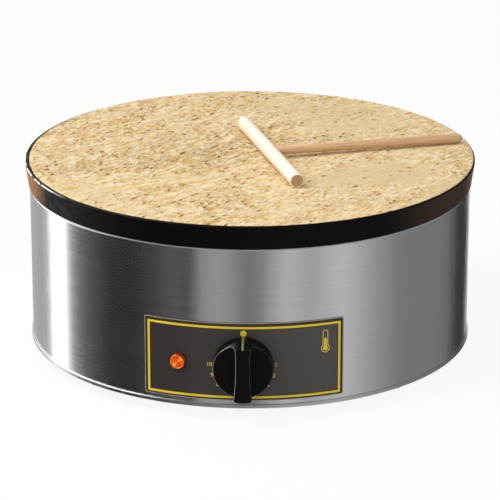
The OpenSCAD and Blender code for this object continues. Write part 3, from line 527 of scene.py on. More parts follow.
dress(seasoned_iron(), "griddle_plate")
dress(brushed_sheet(), "body_shell")
dress(
    bright_steel(), "seam_rivets", "cutout_rivets", "element_terminals", "thermostat_shaft", "knob_spring",
    "pilot_clip",
)
dress(
    zinc_plate(), "base_pan", "foot_screws", "foot_nuts", "tie_rods", "tie_rod_nuts", "clamp_bars",
    "clamp_studs", "clamp_nuts", "tray_nuts", "bulb_clip", "clip_screws", "saddle_plate", "thermostat_screws",
    "earth_stud", "earth_nut", "thermostat_housing",
)
dress(dulled_sheath(), "heating_element")
dress(pale_ceramic(), "element_bushes", "terminal_block", "thermostat_base", "pilot_body")
dress(mineral_felt(), "insulation_disc")
dress(mill_aluminium(), "reflector_tray")
dress(BLACK, "gland_body", "gland_cap", "gland_locknut", "thermal_cutout")
dress(black_rubber(), "foot_front_left", "foot_front_right", "foot_rear_left", "foot_rear_right", "gland_seal")
dress(label_foil(), "control_label")
dress(COPPER, "sensor_bulb", "capillary_tube")
dress(BRASS, "terminal_screws")
dress(LAMP_RIM, "pilot_bezel")
for colour, dark, light, wires in (
    ("brown", (84, 48, 20), (126, 76, 34), ("live_wire", "element_wire")),
    ("blue", (28, 66, 140), (50, 100, 180), ("neutral_wire",)),
    ("green", (58, 110, 30), (96, 160, 50), ("earth_wire",)),
    ("grey", (120, 120, 116), (150, 150, 146), ("lamp_wires",)),
):
    dress(two_tone(colour + " silicone", tone(*dark), tone(*light), 150, 0.45), *wires)


# ---- Crepe ----

CREPE_RINGS = 174        # keeps the crepe under 200,000 triangles
THINNEST = mm(0.2)       # no pit goes deeper than this above the crepe's foot
RIDGES = 150             # spread over the crepe
TORN_RIDGES = 6          # at each torn spot
# Where the batter lies smooth, in millimetres: (x, y, half length, half width, angle, how smooth)
SMOOTH_PATCHES = [
    (110, -60, 82, 42, 24, 0.72), (84, 112, 78, 60, -35, 0.55), (150, 30, 50, 34, 10, 0.5),
    (172, -92, 40, 17, 60, 0.75), (-128, -124, 62, 24, -46, 0.45), (30, 150, 60, 34, -12, 0.4),
]
# Where it is busiest, written in the same way
BUSY_PATCHES = [(-40, 5, 105, 55, 25, 0.85), (-150, -50, 45, 45, 0, 0.6), (165, -10, 30, 50, 0, 0.3)]
# Where it has browned most: (x, y, radius, how brown)
BROWN_PATCHES = [
    (-8, -34, 26, 0.14), (-6, -2, 20, 0.14), (-34, 2, 36, 0.12), (-38, -148, 24, 0.16), (160, 84, 22, 0.16),
    (-150, 40, 26, 0.12), (22, -186, 30, 0.14), (174, -10, 22, 0.16), (64, -166, 20, 0.14), (-74, -76, 30, 0.1),
]
# Knots of short ridges, where the batter was torn and baked again, with crests painted fully pale as
# highlights: (x, y)
TORN_SPOTS = [(-155, -41), (-78, -33), (172, -6), (158, 89), (-36, -152), (56, -170), (-18, 52), (-120, -14)]


def ringed_disc(rings):
    """Points and faces of a disc of evenly spread triangles, as shares of its radius."""
    points, starts = [(0.0, 0.0)], [0]
    for k in range(1, rings + 1):
        starts.append(len(points))
        for i in range(6 * k):
            angle = math.tau * i / (6 * k)
            points.append((k / rings * math.cos(angle), k / rings * math.sin(angle)))
    faces = []
    for k in range(1, rings + 1):
        inner, outer = 6 * max(k - 1, 0), 6 * k
        for side in range(6):
            for i in range(k):
                a = starts[k] + side * k + i
                b = starts[k] + (side * k + i + 1) % outer
                c = starts[k - 1] + ((side * (k - 1) + i) % inner if inner else 0)
                faces.append((a, b, c))
                if i < k - 1:
                    d = starts[k - 1] + (side * (k - 1) + i + 1) % inner
                    faces.append((b, d, c))
    return points, faces, starts[rings]


def inside_patches(x, y, patches):
    """How far a point lies inside the patches: from 0 outside them to the amount of the strongest."""
    most = 0.0
    for cx, cy, length, width, angle, amount in patches:
        along = Vector((x - mm(cx), y - mm(cy)))
        along.rotate(Matrix.Rotation(-math.radians(angle), 2))
        inside = 1 - (along.x / mm(length)) ** 2 - (along.y / mm(width)) ** 2
        most = max(most, min(max(inside * 1.3, 0.0), 1.0) * amount)
    return most


def batter_relief(points):
    """Height over the crepe's foot, and how brown and how smooth it is, at each point."""
    angle = math.radians(STROKE_ANGLE)
    cos_s, sin_s = math.cos(angle), math.sin(angle)
    heights, toast_and_painted_light, film = [], [], []
    for x, y in points:
        u, v = x * cos_s + y * sin_s, -x * sin_s + y * cos_s
        calm = inside_patches(x, y, SMOOTH_PATCHES)
        sway = noise.noise(Vector((x * 14, y * 14, 3.1)))
        bubbly = 0.5 + 0.5 * noise.noise(Vector((u * 16, v * 26, 7.7)))
        bubbly = min(max(bubbly * 1.5 - 0.1, 0.2), 1.0) * (1 - 0.8 * calm)
        ridge = noise.noise(Vector((u * 45, v * 120 + sway * 2, 0.4)))
        wrinkle = noise.noise(Vector((u * 90, v * 180, 5.2)))
        lace = (1 - abs(ridge) * 1.6) ** 3
        heights.append(mm(0.8) + mm(0.08) * sway + bubbly * (mm(0.34) * lace + mm(0.6) * wrinkle))
        brown = max(0.0, -wrinkle - 0.2) * 0.5 * bubbly
        for cx, cy, radius, amount in BROWN_PATCHES:
            near = max(0.0, 1 - ((x - mm(cx)) ** 2 + (y - mm(cy)) ** 2) / mm(radius) ** 2)
            brown += near * amount * (0.4 - 2 * wrinkle)
        toast_and_painted_light.append(brown)
        film.append(calm - inside_patches(x, y, BUSY_PATCHES) * (1 - calm))
    return np.array(heights), np.array(toast_and_painted_light), np.array(film)


def draw_ridge(xy, heights, toast_and_painted_light, centre, angle, length, width, rise, pale):
    """A ridge of batter, with its crest painted pale as a highlight and a painted shade line along the side
    that the light leaves dark.
    """
    near = np.nonzero(np.abs(xy - centre).max(1) < length / 2 + 4 * width)[0]
    along = (xy[near] - centre) @ np.array((math.cos(angle), math.sin(angle)))
    across = (xy[near] - centre) @ np.array((-math.sin(angle), math.cos(angle)))
    bend = 0.12 * length * np.sin(along / length * 5 + length * 3000)
    taper = np.clip(1.15 - (2 * along / length) ** 2, 0, 1)
    crest = taper * np.exp(-(((across - bend * 0.3) / width) ** 2))
    shade = taper * np.exp(-(((across - bend * 0.3 + 1.7 * width) / width) ** 2))
    heights[near] += rise * crest - rise * 0.45 * shade
    # Painted shade along the side away from the light, and a painted highlight as strong as pale along the
    # crest
    toast_and_painted_light[near] += 0.3 * shade - pale * crest


def draw_ridges(points, heights, toast_and_painted_light):
    rng = random.Random(5)
    xy = np.array(points)
    strokes = 0
    while strokes < RIDGES:
        angle, reach = rng.uniform(0, math.tau), (CREPE_R - mm(5)) * math.sqrt(rng.random())
        centre = (reach * math.cos(angle), reach * math.sin(angle))
        if rng.random() < inside_patches(*centre, SMOOTH_PATCHES) + 0.35 * (centre[0] > mm(40)):
            continue
        strokes += 1
        way = math.radians(STROKE_ANGLE + rng.gauss(0, 11))
        draw_ridge(
            xy, heights, toast_and_painted_light, centre, way,
            mm(rng.uniform(9, 38)), mm(rng.uniform(1.1, 2.0)), mm(rng.uniform(0.25, 0.6)), 0.45,
        )
    for x, y in TORN_SPOTS:
        for _ in range(TORN_RIDGES):
            centre = (mm(x + rng.gauss(0, 4)), mm(y + rng.gauss(0, 5)))
            draw_ridge(
                xy, heights, toast_and_painted_light, centre, rng.uniform(0, math.pi),
                mm(rng.uniform(7, 15)), mm(rng.uniform(1.0, 1.4)), mm(rng.uniform(0.5, 0.8)), 1.0,
            )


def bubble_tree():
    """Nodes that sink burst bubbles into the batter: a brown dip with a raised side round each one."""
    tree = bpy.data.node_groups.new("burst bubbles", "GeometryNodeTree")
    inlets = (
        ("Batter", "Geometry", None), ("Seed", "Int", 11), ("Spacing", "Float", mm(4)),
        ("Crowd", "Float", 9000.0), ("Smallest", "Float", mm(1.2)), ("Largest", "Float", mm(2.5)),
        ("Depth", "Float", mm(0.6)), ("Low", "Float", 0.0), ("High", "Float", 1.0), ("Turn", "Float", 0.0),
        ("Finish", "Material", None),
    )
    for name, kind, value in inlets:
        socket = tree.interface.new_socket(name, in_out="INPUT", socket_type="NodeSocket" + kind)
        if value is not None:
            socket.default_value = value
    tree.interface.new_socket("Pitted batter", in_out="OUTPUT", socket_type="NodeSocketGeometry")
    given = add_node(tree, "NodeGroupInput")

    def node(kind, inputs=None, output=0, **settings):
        return add_node(tree, kind, inputs, **settings)[output]

    def calc(operation, a, b=0.0, c=0.0):
        return node("ShaderNodeMath", {0: a, 1: b, 2: c}, operation=operation)

    def bell(value, centre, sharpness):
        """1 where the value is the centre, falling off on both sides of it."""
        off = calc("SUBTRACT", value, centre)
        return calc("EXPONENT", calc("MULTIPLY", calc("MULTIPLY", off, off), -sharpness))

    place = node("GeometryNodeInputPosition")
    upward = node("ShaderNodeSeparateXYZ", {0: node("GeometryNodeInputNormal")}, 2)
    on_top = node("FunctionNodeCompare", {0: upward, 1: 0.5}, operation="GREATER_THAN")
    film = node("GeometryNodeInputNamedAttribute", {"Name": "film"}, data_type="FLOAT")
    clouds = node("ShaderNodeTexNoise", {"Vector": place, "Scale": 24.0, "Detail": 2.0})
    crowd = node("ShaderNodeMapRange", {0: clouds, 1: 0.36, 2: 0.62})
    crowd = calc("MULTIPLY", crowd, calc("MULTIPLY_ADD", film, -1.0, 1.0))
    dots = node("GeometryNodeDistributePointsOnFaces", {
        "Mesh": given["Batter"], "Selection": on_top, "Distance Min": given["Spacing"],
        "Density Max": given["Crowd"], "Density Factor": crowd, "Seed": given["Seed"],
    }, distribute_method="POISSON")
    nearest = node("GeometryNodeSampleNearest", {"Geometry": dots, "Sample Position": place})

    def of_nearest(value, kind):
        sample = {"Geometry": dots, "Value": value, "Index": nearest}
        return node("GeometryNodeSampleIndex", sample, data_type=kind)

    def random_per_dot(low, high, seed):
        return node("FunctionNodeRandomValue", {2: low, 3: high, 8: seed}, 1, data_type="FLOAT")

    radius = of_nearest(random_per_dot(given["Smallest"], given["Largest"], 1), "FLOAT")
    burnt = of_nearest(random_per_dot(0.3, 0.95, 2), "FLOAT")
    away = node("ShaderNodeVectorMath", {0: place, 1: of_nearest(place, "FLOAT_VECTOR")}, operation="SUBTRACT")
    away = node("ShaderNodeVectorRotate", {"Vector": away, "Angle": given["Turn"]}, rotation_type="Z_AXIS")
    away = node("ShaderNodeVectorMath", {0: away, 1: (0.8, 1.25, 0.0)}, operation="MULTIPLY")
    length = node("ShaderNodeVectorMath", {0: away}, "Value", operation="LENGTH")
    share = calc("DIVIDE", length, radius)
    side = calc("MULTIPLY", bell(share, 1.5, 3.0), 0.4)
    lift = calc("MULTIPLY", calc("SUBTRACT", side, bell(share, 0.0, 1.6)), given["Depth"])
    toast_and_painted_light = node("GeometryNodeInputNamedAttribute", {"Name": "toast_and_painted_light"}, data_type="FLOAT")
    toast_and_painted_light = calc("MAXIMUM", toast_and_painted_light, calc("MULTIPLY", burnt, bell(share, 0.0, 1.1)))
    made = {"Geometry": given["Batter"], "Name": "toast_and_painted_light", "Value": toast_and_painted_light}
    made = node("GeometryNodeStoreNamedAttribute", made)
    x, y, z = add_node(tree, "ShaderNodeSeparateXYZ", {0: place})
    height = node("ShaderNodeClamp", {0: calc("ADD", z, lift), 1: given["Low"], 2: given["High"]})
    moved = node("ShaderNodeCombineXYZ", {0: x, 1: y, 2: height})
    made = node("GeometryNodeSetPosition", {"Geometry": made, "Selection": on_top, "Position": moved})
    made = node("GeometryNodeRealizeInstances", {"Geometry": made})
    made = node("GeometryNodeSetMaterial", {"Geometry": made, "Material": given["Finish"]})
    add_node(tree, "NodeGroupOutput", {0: made})
    return tree


def sink_bubbles(mesh, finish):
    """The mesh with the larger burst bubbles sunk into it."""
    made = in_scene("batter", mesh)
    tree = bubble_tree()
    chosen = {
        "Low": crepe_low.z + THINNEST, "High": crepe_high.z, "Turn": math.radians(-STROKE_ANGLE),
        "Finish": finish.material,
    }
    modifier = made.modifiers.new("bubbles", "NODES")
    modifier.node_group = tree
    for socket in tree.interface.items_tree:
        if socket.name in chosen:
            modifier[socket.identifier] = chosen[socket.name]
    return finished_mesh(made)


def bake_crepe():
    shares, faces, rim = ringed_disc(CREPE_RINGS)
    edge = []
    for x, y in shares:
        angle = math.atan2(y, x)
        wave = 0.5 + 0.5 * noise.noise(Vector((math.cos(angle) * 9, math.sin(angle) * 9, 2.2)))
        ragged, drawn_in = mm(0.9) * wave * (1 - 0.8 * math.cos(angle)), max(0.0, -math.cos(angle)) ** 4
        edge.append(CREPE_R - ragged - mm(1.6) * drawn_in)
    points = [(x * r, y * r) for (x, y), r in zip(shares, edge)]
    heights, toast_and_painted_light, film = batter_relief(points)
    draw_ridges(points, heights, toast_and_painted_light)
    out = np.array([math.hypot(x, y) for x, y in shares])
    heights *= 1 - np.clip((out - 0.988) / 0.012, 0, 1) ** 2 * 0.55    # thins towards its rim
    heights = np.clip(heights, THINNEST, crepe_high.z - crepe_low.z)
    low = crepe_low.z + mm(0.02)
    verts = [(x, y, low + h) for (x, y), h in zip(points, heights)]
    under = len(verts)
    verts += [(x, y, low) for x, y in points[rim:]] + [(0, 0, low)]
    count, centre = len(points) - rim, len(verts) - 1
    for i in range(count):
        j = (i + 1) % count
        faces.append((rim + j, rim + i, under + i))
        faces.append((rim + j, under + i, under + j))
        faces.append((centre, under + j, under + i))
    mesh = mesh_of("baked crepe", verts, faces)
    for name, values in (("toast_and_painted_light", toast_and_painted_light), ("film", film)):
        layer = mesh.attributes.new(name, "FLOAT", "POINT")
        layer.data.foreach_set("value", np.concatenate((values, np.zeros(count + 1))))
    batter = baked_batter()
    piece("crepe_baked", sink_bubbles(mesh, batter), batter, "crepe", ("crepe",))


bake_crepe()


# ---- Knob ----

def paint_edge_highlights(mesh):
    """Stores a painted highlight at each point: 0 on flats and hollows, 1 on convex edges that face up and to
    the left, towards the light.
    """

    def read(items, name, width, kind=float):
        values = np.zeros(len(items) * width, dtype=kind)
        items.foreach_get(name, values)
        return values.reshape(-1, width)

    spots, normals = read(mesh.vertices, "co", 3), read(mesh.vertices, "normal", 3)
    pairs = read(mesh.edges, "vertices", 2, int)
    both = np.concatenate((pairs, pairs[:, ::-1]))
    degree = np.bincount(both[:, 0], minlength=len(spots))[:, None]

    def around(values):
        total = np.zeros_like(values)
        np.add.at(total, both[:, 0], values[both[:, 1]])
        return total / degree

    bulge = ((spots - around(spots)) * normals).sum(1)[:, None]
    for _ in range(3):
        bulge = (bulge + around(bulge)) / 2
    # Edges count more the more they face the light from up and to the left.
    toward_light = np.clip(normals @ np.array((-0.85, -0.25, 0.45)), 0, 1)
    edge = np.clip((bulge[:, 0] - mm(0.006)) / mm(0.015), 0, 1) * (0.05 + 0.95 * toward_light ** 2)
    mesh.attributes.new("edge", "FLOAT", "POINT").data.foreach_set("value", edge)


KNOB_VOXEL = mm(0.32)    # keeps the knob under 200,000 triangles


def mould_knob():
    """The knob with the soft edges of a moulding."""
    mesh = finished_mesh(
        merged_copy("control_knob"),
        ("REMESH", {"mode": "VOXEL", "voxel_size": KNOB_VOXEL, "use_smooth_shade": True}),
        ("SMOOTH", {"factor": 0.6, "iterations": 9}),
    )
    # Painted highlights on its edges that face up and to the left.
    paint_edge_highlights(mesh)
    return piece("knob_moulding", mesh, BLACK, "knob", ("control_knob",))


knob = mould_knob()


def conforming_strip(target, half_width, start, stop, slope, thickness):
    """A closed thin strip laid on a piece. It runs from start to stop, dropped onto the piece at a slope."""
    form = target.data
    tree = BVHTree.FromPolygons([v.co for v in form.vertices], [p.vertices for p in form.polygons])
    inward = Vector((0, math.cos(slope), -math.sin(slope)))
    wide, long, sunk, away = 4, 32, mm(0.3), mm(60)
    verts, faces = [], []
    for depth in (thickness, -sunk):
        for j in range(long):
            for i in range(wide):
                across = Vector((half_width * (2 * i / (wide - 1) - 1), 0, 0))
                above = start.lerp(stop, j / (long - 1)) + across - inward * away
                verts.append(tree.ray_cast(above, inward)[0] - inward * depth)
    layer = wide * long
    for j in range(long - 1):
        for i in range(wide - 1):
            a = j * wide + i
            front = (a, a + 1, a + wide + 1, a + wide)
            faces += [front, tuple(layer + k for k in reversed(front))]
    loop = list(range(wide)) + [j * wide + wide - 1 for j in range(1, long)]
    loop += [(long - 1) * wide + i for i in range(wide - 2, -1, -1)]
    loop += [j * wide for j in range(long - 2, 0, -1)]
    for a, b in zip(loop, loop[1:] + loop[:1]):
        faces.append((b, a, layer + a, layer + b))
    return mesh_of("strip", verts, faces)


def paint_index_line():
    """A painted line that runs from the face of the knob over its crown towards the label."""
    slope, half_width, thickness = math.radians(35), mm(0.85), mm(0.08)
    face = Vector((0, knob_low.y, KNOB_AXIS.z + mm(23.4)))
    crown = Vector((0, -LABEL_R - mm(3), knob_high.z))
    across = Vector((0, math.sin(slope), math.cos(slope)))
    start, stop = (KNOB_AXIS + across * (spot - KNOB_AXIS).dot(across) for spot in (face, crown))
    mesh = conforming_strip(knob, half_width, start, stop, slope, thickness)
    piece("knob_index_line", mesh, INDEX_PAINT, "knob")


paint_index_line()


# ---- Prints on the label ----

PRINT_T = mm(0.06)
DIGIT_SHARE = 0.7         # a digit's height as a share of the font's size
DIGIT_SPREAD = mm(0.06)   # how much each side of a digit's strokes is widened


def arc_points(cx, cy, r, start, stop, steps):
    angles = [math.radians(start + (stop - start) * k / steps) for k in range(steps + 1)]
    return [(cx + r * math.cos(a), cy + r * math.sin(a)) for a in angles]


def frame_loop(half_w, low, high, corner):
    """A rectangle with rounded corners, as points in order."""
    corners = ((half_w, high, 0), (-half_w, high, 90), (-half_w, low, 180), (half_w, low, 270))
    points = []
    for x, y, start in corners:
        cx = x - math.copysign(corner, x)
        cy = y - corner if y == high else y + corner
        points += arc_points(cx, cy, corner, start, start + 90, 4)
    return points


def flat_figure(*loops):
    """A filled flat figure of closed loops in millimetres, as a curve object. A loop in another is a hole."""
    curve = bpy.data.curves.new("figure", "CURVE")
    curve.dimensions, curve.fill_mode, curve.extrude = "2D", "BOTH", PRINT_T / 2
    for points in loops:
        spline = curve.splines.new("POLY")
        spline.points.add(len(points) - 1)
        for point, (x, y) in zip(spline.points, points):
            point.co = (mm(x), mm(y), 0, 1)
        spline.use_cyclic_u = True
    return in_scene("figure", curve)


def numeral(text, height):
    """A number as a flat figure, centred on its middle."""
    curve = bpy.data.curves.new("numeral", "FONT")
    curve.body, curve.size = text, height / DIGIT_SHARE
    curve.extrude, curve.offset = PRINT_T / 2, DIGIT_SPREAD
    curve.align_x, curve.align_y = "CENTER", "CENTER"
    return in_scene("numeral", curve)


def wrap_on_label(name, figures, finish, step=mm(3)):
    """Cuts flat figures across, wraps them round the label and joins them into one piece.
    figures are (object, arc, height): where the middle of each one's width and its origin's height come."""
    form = bmesh.new()
    for made, arc, height in figures:
        mesh = finished_mesh(made)
        reach = [v.co.x for v in mesh.vertices]
        mesh.transform(Matrix.Translation((arc - (min(reach) + max(reach)) / 2, height, 0)))
        form.from_mesh(mesh)
    bmesh.ops.remove_doubles(form, verts=form.verts, dist=mm(0.001))
    reach = [v.co.x for v in form.verts]
    low, high = min(reach), max(reach)
    for k in range(1, int((high - low) / step) + 1):
        parts = form.verts[:] + form.edges[:] + form.faces[:]
        bmesh.ops.bisect_plane(form, geom=parts, plane_co=(low + k * step, 0, 0), plane_no=(1, 0, 0))
    for v in form.verts:
        angle = v.co.x / LABEL_R
        r = LABEL_R + PRINT_T / 2 + v.co.z
        v.co = (r * math.sin(angle), -r * math.cos(angle), v.co.y)
    bmesh.ops.recalc_face_normals(form, faces=form.faces)
    piece(name, mesh_from(form, name), finish, "base", smooth=False)


def print_border():
    """From the outside in: the foil's cut edge, the dark margin and the yellow line in it."""
    half, low, high = (1000 * v for v in (LABEL_HALF, label_low.z, label_high.z))
    # How far each line lies in from the label's sides, foot and head, and the radius of its corners
    lines = (
        (0.1, 0.1, 0.1, 1.4), (0.65, 0.65, 0.65, 1.2), (2.9, 2.1, 3.3, 0.8), (4.9, 4.1, 5.3, 0.4),
        (5.7, 4.9, 6.1, 0.3),
    )
    loops = [frame_loop(half - side, low + foot, high - head, corner) for side, foot, head, corner in lines]
    edge, outside, line, inside = (flat_figure(*pair) for pair in zip(loops, loops[1:]))
    wrap_on_label("label_cut_edge", [(edge, 0, 0)], FOIL_EDGE)
    wrap_on_label("label_margin", [(outside, 0, 0), (inside, 0, 0)], MARGIN_PRINT)
    wrap_on_label("label_border", [(line, 0, 0)], YELLOW_PRINT)


def print_start_dot():
    radius, height = 2.8, mm(66.5)
    dot = flat_figure(arc_points(0, 0, radius, 0, 348, 29))
    wrap_on_label("dial_start_dot", [(dot, 0, shell_low.z + height)], YELLOW_PRINT)


def print_numerals():
    dial_r, first, spacing, height = mm(28.1), 91, 19.8, mm(3.6)
    figures = []
    for k in range(10):
        angle = math.radians(first + spacing * k)
        at = (dial_r * math.sin(angle) - mm(0.5), KNOB_AXIS.z + dial_r * math.cos(angle))
        figures.append((numeral(str(k + 1), height), *at))
    wrap_on_label("dial_numerals", figures, NUMERAL_PRINT)


def print_thermometer():
    """A plain thermometer: an outline, and a column with its bulb inside it."""

    def outline(bulb_r, stem_r, bulb_y, top_y):
        neck = math.degrees(math.acos(stem_r / bulb_r))
        bulb = arc_points(0, bulb_y, bulb_r, 90 + (90 - neck), 450 - (90 - neck), 24)
        return bulb + arc_points(0, top_y - stem_r, stem_r, 0, 180, 10)

    glass = flat_figure(outline(3.9, 2.5, 3.9, 20.5), outline(3.2, 1.8, 3.9, 19.8))
    column = flat_figure(outline(2.2, 1.15, 3.9, 13))
    arc, foot = mm(70.4), shell_low.z + mm(45.8)
    wrap_on_label("thermometer_mark", [(glass, arc, foot), (column, arc, foot)], YELLOW_PRINT)


print_border()
print_start_dot()
print_numerals()
print_thermometer()


# ---- Pilot lamp ----

# Brightness of the lens's fan of facets, from its right side upwards: the lamp's light, with painted highlights
# on the brightest facets
FAN = (0.7, 1.0, 0.8, 0.42, 0.36, 0.5, 0.46, 0.5, 0.62, 0.8, 1.0, 0.6, 0.42, 0.36, 0.48, 0.56)


def cut_lens():
    """The lens: its side, a rounded edge, a ring painted as a highlight, and a fan of facets round a small
    hollow.
    """
    centre = (lens_low + lens_high) / 2
    angle = math.atan2(centre.x, -centre.y)
    outward = Vector((math.sin(angle), -math.cos(angle), 0))
    across = Vector((math.cos(angle), math.sin(angle), 0))
    radius = (lens_high.z - lens_low.z) / 2
    reaches = [v.co.dot(outward) for v in nodes["pilot_lens"].data.vertices]
    near, far = min(reaches), max(reaches)
    # share of the radius, distance in from the front, brightness of the ring that ends here (None: the fan's
    # own); the bright ring is a painted highlight, the dark side and edge painted shade
    rings = [
        (1.0, far - near, 0.0), (1.0, mm(3.2), 0.1), (1.0, mm(2.2), 0.7), (1.0, mm(1.5), 0.25),
        (0.98, mm(0.5), 0.05), (0.93, mm(0.1), 0.1), (0.88, 0.0, 0.6), (0.81, mm(0.05), 0.8),
        (0.77, mm(0.35), 0.3), (0.3, mm(0.8), None), (0.1, mm(0.45), None),
    ]
    count = 4 * len(FAN)
    verts, faces, glow_with_painted_light = [], ring_walls(len(rings), count), []
    for share, depth, _ in rings:
        for i in range(count):
            a = math.tau * i / count
            up = Vector((0, 0, centre.z + radius * share * math.sin(a)))
            verts.append(outward * (far - depth) + (across * radius * share * math.cos(a) + up))
    for _, _, level in rings[1:]:
        glow_with_painted_light += [FAN[i // 4] if level is None else level for i in range(count)]
    top = (len(rings) - 1) * count
    verts.append(outward * (far - mm(0.7)) + Vector((0, 0, centre.z)))
    faces += [(top + i, top + (i + 1) % count, len(verts) - 1) for i in range(count)]
    faces.append(tuple(reversed(range(count))))
    glow_with_painted_light += [FAN[i // 4] for i in range(count)] + [0.3]
    mesh = mesh_of("cut lens", verts, faces)
    mesh.attributes.new("glow_with_painted_light", "FLOAT", "FACE").data.foreach_set("value", glow_with_painted_light)
    piece("pilot_lens_cut", mesh, amber_plastic(), "base", ("pilot_lens",), smooth=False)


cut_lens()


# ---- Spreader ----

def turned_dowel(name, start, end, profile, finish, stands_for):
    """A dowel turned on a lathe. profile is (distance from start, radius) with both ends closed."""
    along = (end - start).normalized()
    side = along.orthogonal().normalized()
    other = along.cross(side)
    count = 64
    verts, faces = [], ring_walls(len(profile), count)
    for reach, r in profile:
        for i in range(count):
            a = math.tau * i / count
            verts.append(start + along * reach + (side * math.cos(a) + other * math.sin(a)) * r)
    faces += [tuple(reversed(range(count))), tuple(range(len(verts) - count, len(verts)))]
    mesh = mesh_of(name, verts, faces)
    ends = mesh.attributes.new("cut", "FLOAT", "FACE")
    ends.data.foreach_set("value", [0.0] * (len(faces) - 2) + [1.0, 1.0])
    piece(name, mesh, finish, "spreader", stands_for)
    mesh.polygons.foreach_set("use_smooth", [len(p.vertices) == 4 for p in mesh.polygons])


def axis_of(node):
    """The two ends of a round bar's axis, from its mesh: the mean of the points at each far end."""
    spots = np.array([v.co for v in nodes[node].data.vertices])
    middle = (spots.max(0) + spots.min(0)) / 2
    along = np.linalg.svd(spots - spots.mean(0), full_matrices=False)[2][0]
    reach = (spots - middle) @ along
    ends = []
    for limit in (reach.min(), reach.max()):
        near = spots[np.abs(reach - limit) < mm(0.6)]
        ends.append(Vector((near.max(0) + near.min(0)) / 2))
    return sorted(ends, key=lambda p: p.x)


def bevelled(length, r, bevel):
    rounds = [(bevel * (1 - math.cos(a)), r - bevel * (1 - math.sin(a))) for a in (0, 0.5, 1.05, math.pi / 2)]
    return rounds + [(length - reach, radius) for reach, radius in reversed(rounds)]


def dress_spreader():
    bar_a, bar_b = axis_of("spreader_crossbar")
    bar_low, bar_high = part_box("spreader_crossbar")
    bar_r = (bar_high.z - bar_low.z) / 2
    across = bar_b - bar_a
    pale = turned_wood("pale beech", tone(238, 220, 200), tone(250, 239, 224), tone(192, 152, 112), across)
    profile = bevelled(across.length, bar_r, mm(0.9))
    turned_dowel("crossbar_turned", bar_a, bar_b, profile, pale, ("spreader_crossbar",))
    root, tip = axis_of("spreader_handle")
    along = tip - root
    handle_r = mm(4)
    tan = turned_wood("tan beech", tone(186, 148, 108), tone(209, 173, 132), tone(160, 120, 84), along)
    shoulder = along.length - handle_r
    turns = [math.pi / 2 * k / 8 for k in range(8)]
    profile = [(0, handle_r - mm(0.3)), (mm(0.3), handle_r)]
    profile += [(shoulder + handle_r * math.sin(a), handle_r * math.cos(a)) for a in turns]
    turned_dowel("handle_turned", root, tip, profile, tan, ("spreader_handle",))


dress_spreader()


# ---- Floor, lamps and surroundings ----

def lay_floor():
    """A pale floor. It is white to the camera, keeps the object's shadow, and metal looks past it."""
    matt = Finish("pale floor", (0.9, 0.9, 0.9, 1), 0.9)
    shader = matt.shader.outputs[0]
    rays = matt.node("LightPath")
    white, clear = matt.node("Emission")[0], matt.node("BsdfTransparent")[0]
    seen = matt.node("MixShader", {0: 0.9, 1: shader, 2: white})[0]
    lit = matt.node("MixShader", {0: rays["Is Camera Ray"], 1: shader, 2: seen})[0]
    lit = matt.node("MixShader", {0: rays["Is Glossy Ray"], 1: lit, 2: clear})[0]
    matt.tree.links.new(lit, matt.tree.nodes["Material Output"].inputs["Surface"])
    mesh = mesh_of("floor", [(-6, -6, 0), (6, -6, 0), (6, 6, 0), (-6, 6, 0)], [(0, 1, 2, 3)])
    mesh.materials.append(matt.material)
    in_scene("floor", mesh)


SOFT_LIGHT = 0.42    # brightness of the surroundings, as matt surfaces see them

# The studio as glossy surfaces see it, at eye level and overhead: (bearing from the front, brightness)
PANELS = [
    (-180, 0.6), (-150, 0.5), (-128, 0.5), (-122, 2.6), (-112, 2.6), (-107, 0.35), (-96, 0.13), (-78, 0.03),
    (-62, 0.02), (-50, 0.06), (-37, 0.14), (-29, 0.08), (-27, 0.08), (-25.5, 0.38), (-16, 0.46), (-8, 0.4),
    (0, 0.24), (8, 0.32), (20, 0.7), (33, 0.52), (50, 0.75), (68, 0.46), (86, 0.28), (124, 0.25), (140, 0.05),
    (158, 0.05), (172, 1.0), (180, 1.2),
]
CEILING = [
    (-180, 0.5), (-160, 3.0), (-112, 8.0), (-60, 8.0), (-46, 1.0), (-30, 0.3), (10, 0.3), (24, 0.6), (60, 0.8),
    (100, 0.7), (140, 0.4), (180, 0.5),
]


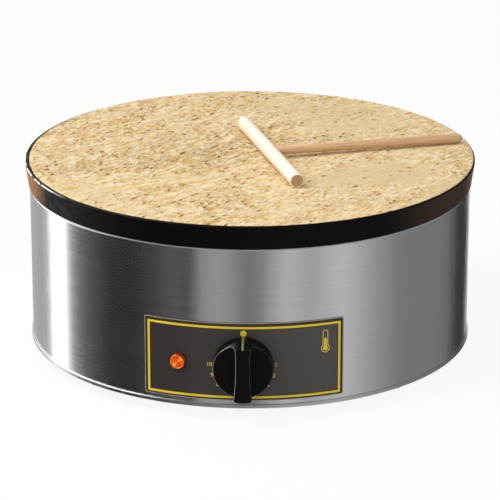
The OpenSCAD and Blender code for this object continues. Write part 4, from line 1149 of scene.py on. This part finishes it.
def light_studio():
    world = bpy.data.worlds.new("studio")
    bpy.context.scene.world = world
    world.use_nodes = True
    tree = world.node_tree
    tree.nodes.clear()

    def node(kind, inputs=None, **settings):
        return add_node(tree, "ShaderNode" + kind, inputs, **settings)

    def band(levels, share):
        ramp = node("ValToRGB", {0: share})[0]
        stops = ramp.node.color_ramp.elements
        stops.remove(stops[0])
        stops[0].position = 1.0
        for degrees, level in levels:
            at = (degrees + 180) / 360
            stop = stops[-1] if at == 1.0 else stops.new(at)
            stop.color = (level, level, level, 1)
        return ramp

    way = node("SeparateXYZ", {0: node("TexCoord")["Generated"]})
    back = node("Math", {0: way["Y"], 1: -1.0}, operation="MULTIPLY")[0]
    bearing = node("Math", {0: way["X"], 1: back}, operation="ARCTAN2")[0]
    share = node("MapRange", {0: bearing, 1: -math.pi, 2: math.pi})[0]
    raised = node("MapRange", {0: way["Z"], 1: 0.36, 2: 0.48})[0]
    zenith = node("MapRange", {0: way["Z"], 1: 0.8, 2: 0.94})[0]
    walls = {0: raised, 6: band(PANELS, share), 7: band(CEILING, share)}
    walls = node("Mix", walls, data_type="RGBA")[2]
    seen = node("Mix", {0: zenith, 6: walls, 7: (0.2, 0.2, 0.22, 1)}, data_type="RGBA")[2]
    rays = node("LightPath")
    white = (1, 1, 1, 1)
    soft = node("Background", {"Color": white, "Strength": SOFT_LIGHT})[0]
    glossy = node("Background", {"Color": seen})[0]
    plain = node("Background", {"Color": white})[0]
    lit = node("MixShader", {0: rays["Is Glossy Ray"], 1: soft, 2: glossy})[0]
    lit = node("MixShader", {0: rays["Is Camera Ray"], 1: lit, 2: plain})[0]
    node("OutputWorld", {0: lit})


def hang_lamp(name, place, size, power):
    """A soft rectangular lamp that faces the plate. What shines mirrors the studio, not the lamp."""
    lamp = in_scene(name, bpy.data.lights.new(name, "AREA"))
    lamp.data.shape, lamp.data.size, lamp.data.size_y, lamp.data.energy = "RECTANGLE", *size, power
    lamp.location = place
    lamp.visible_glossy = False
    lamp.rotation_euler = (Vector((0, 0, 0.12)) - Vector(place)).to_track_quat("-Z", "Y").to_euler()


lay_floor()
light_studio()
hang_lamp("key lamp", (-1.4, -0.7, 2.1), (1.9, 1.9), 52)
hang_lamp("front lamp", (0.5, -2.2, 1.9), (1.6, 0.9), 16)
bpy.context.scene.view_settings.view_transform = "Standard"
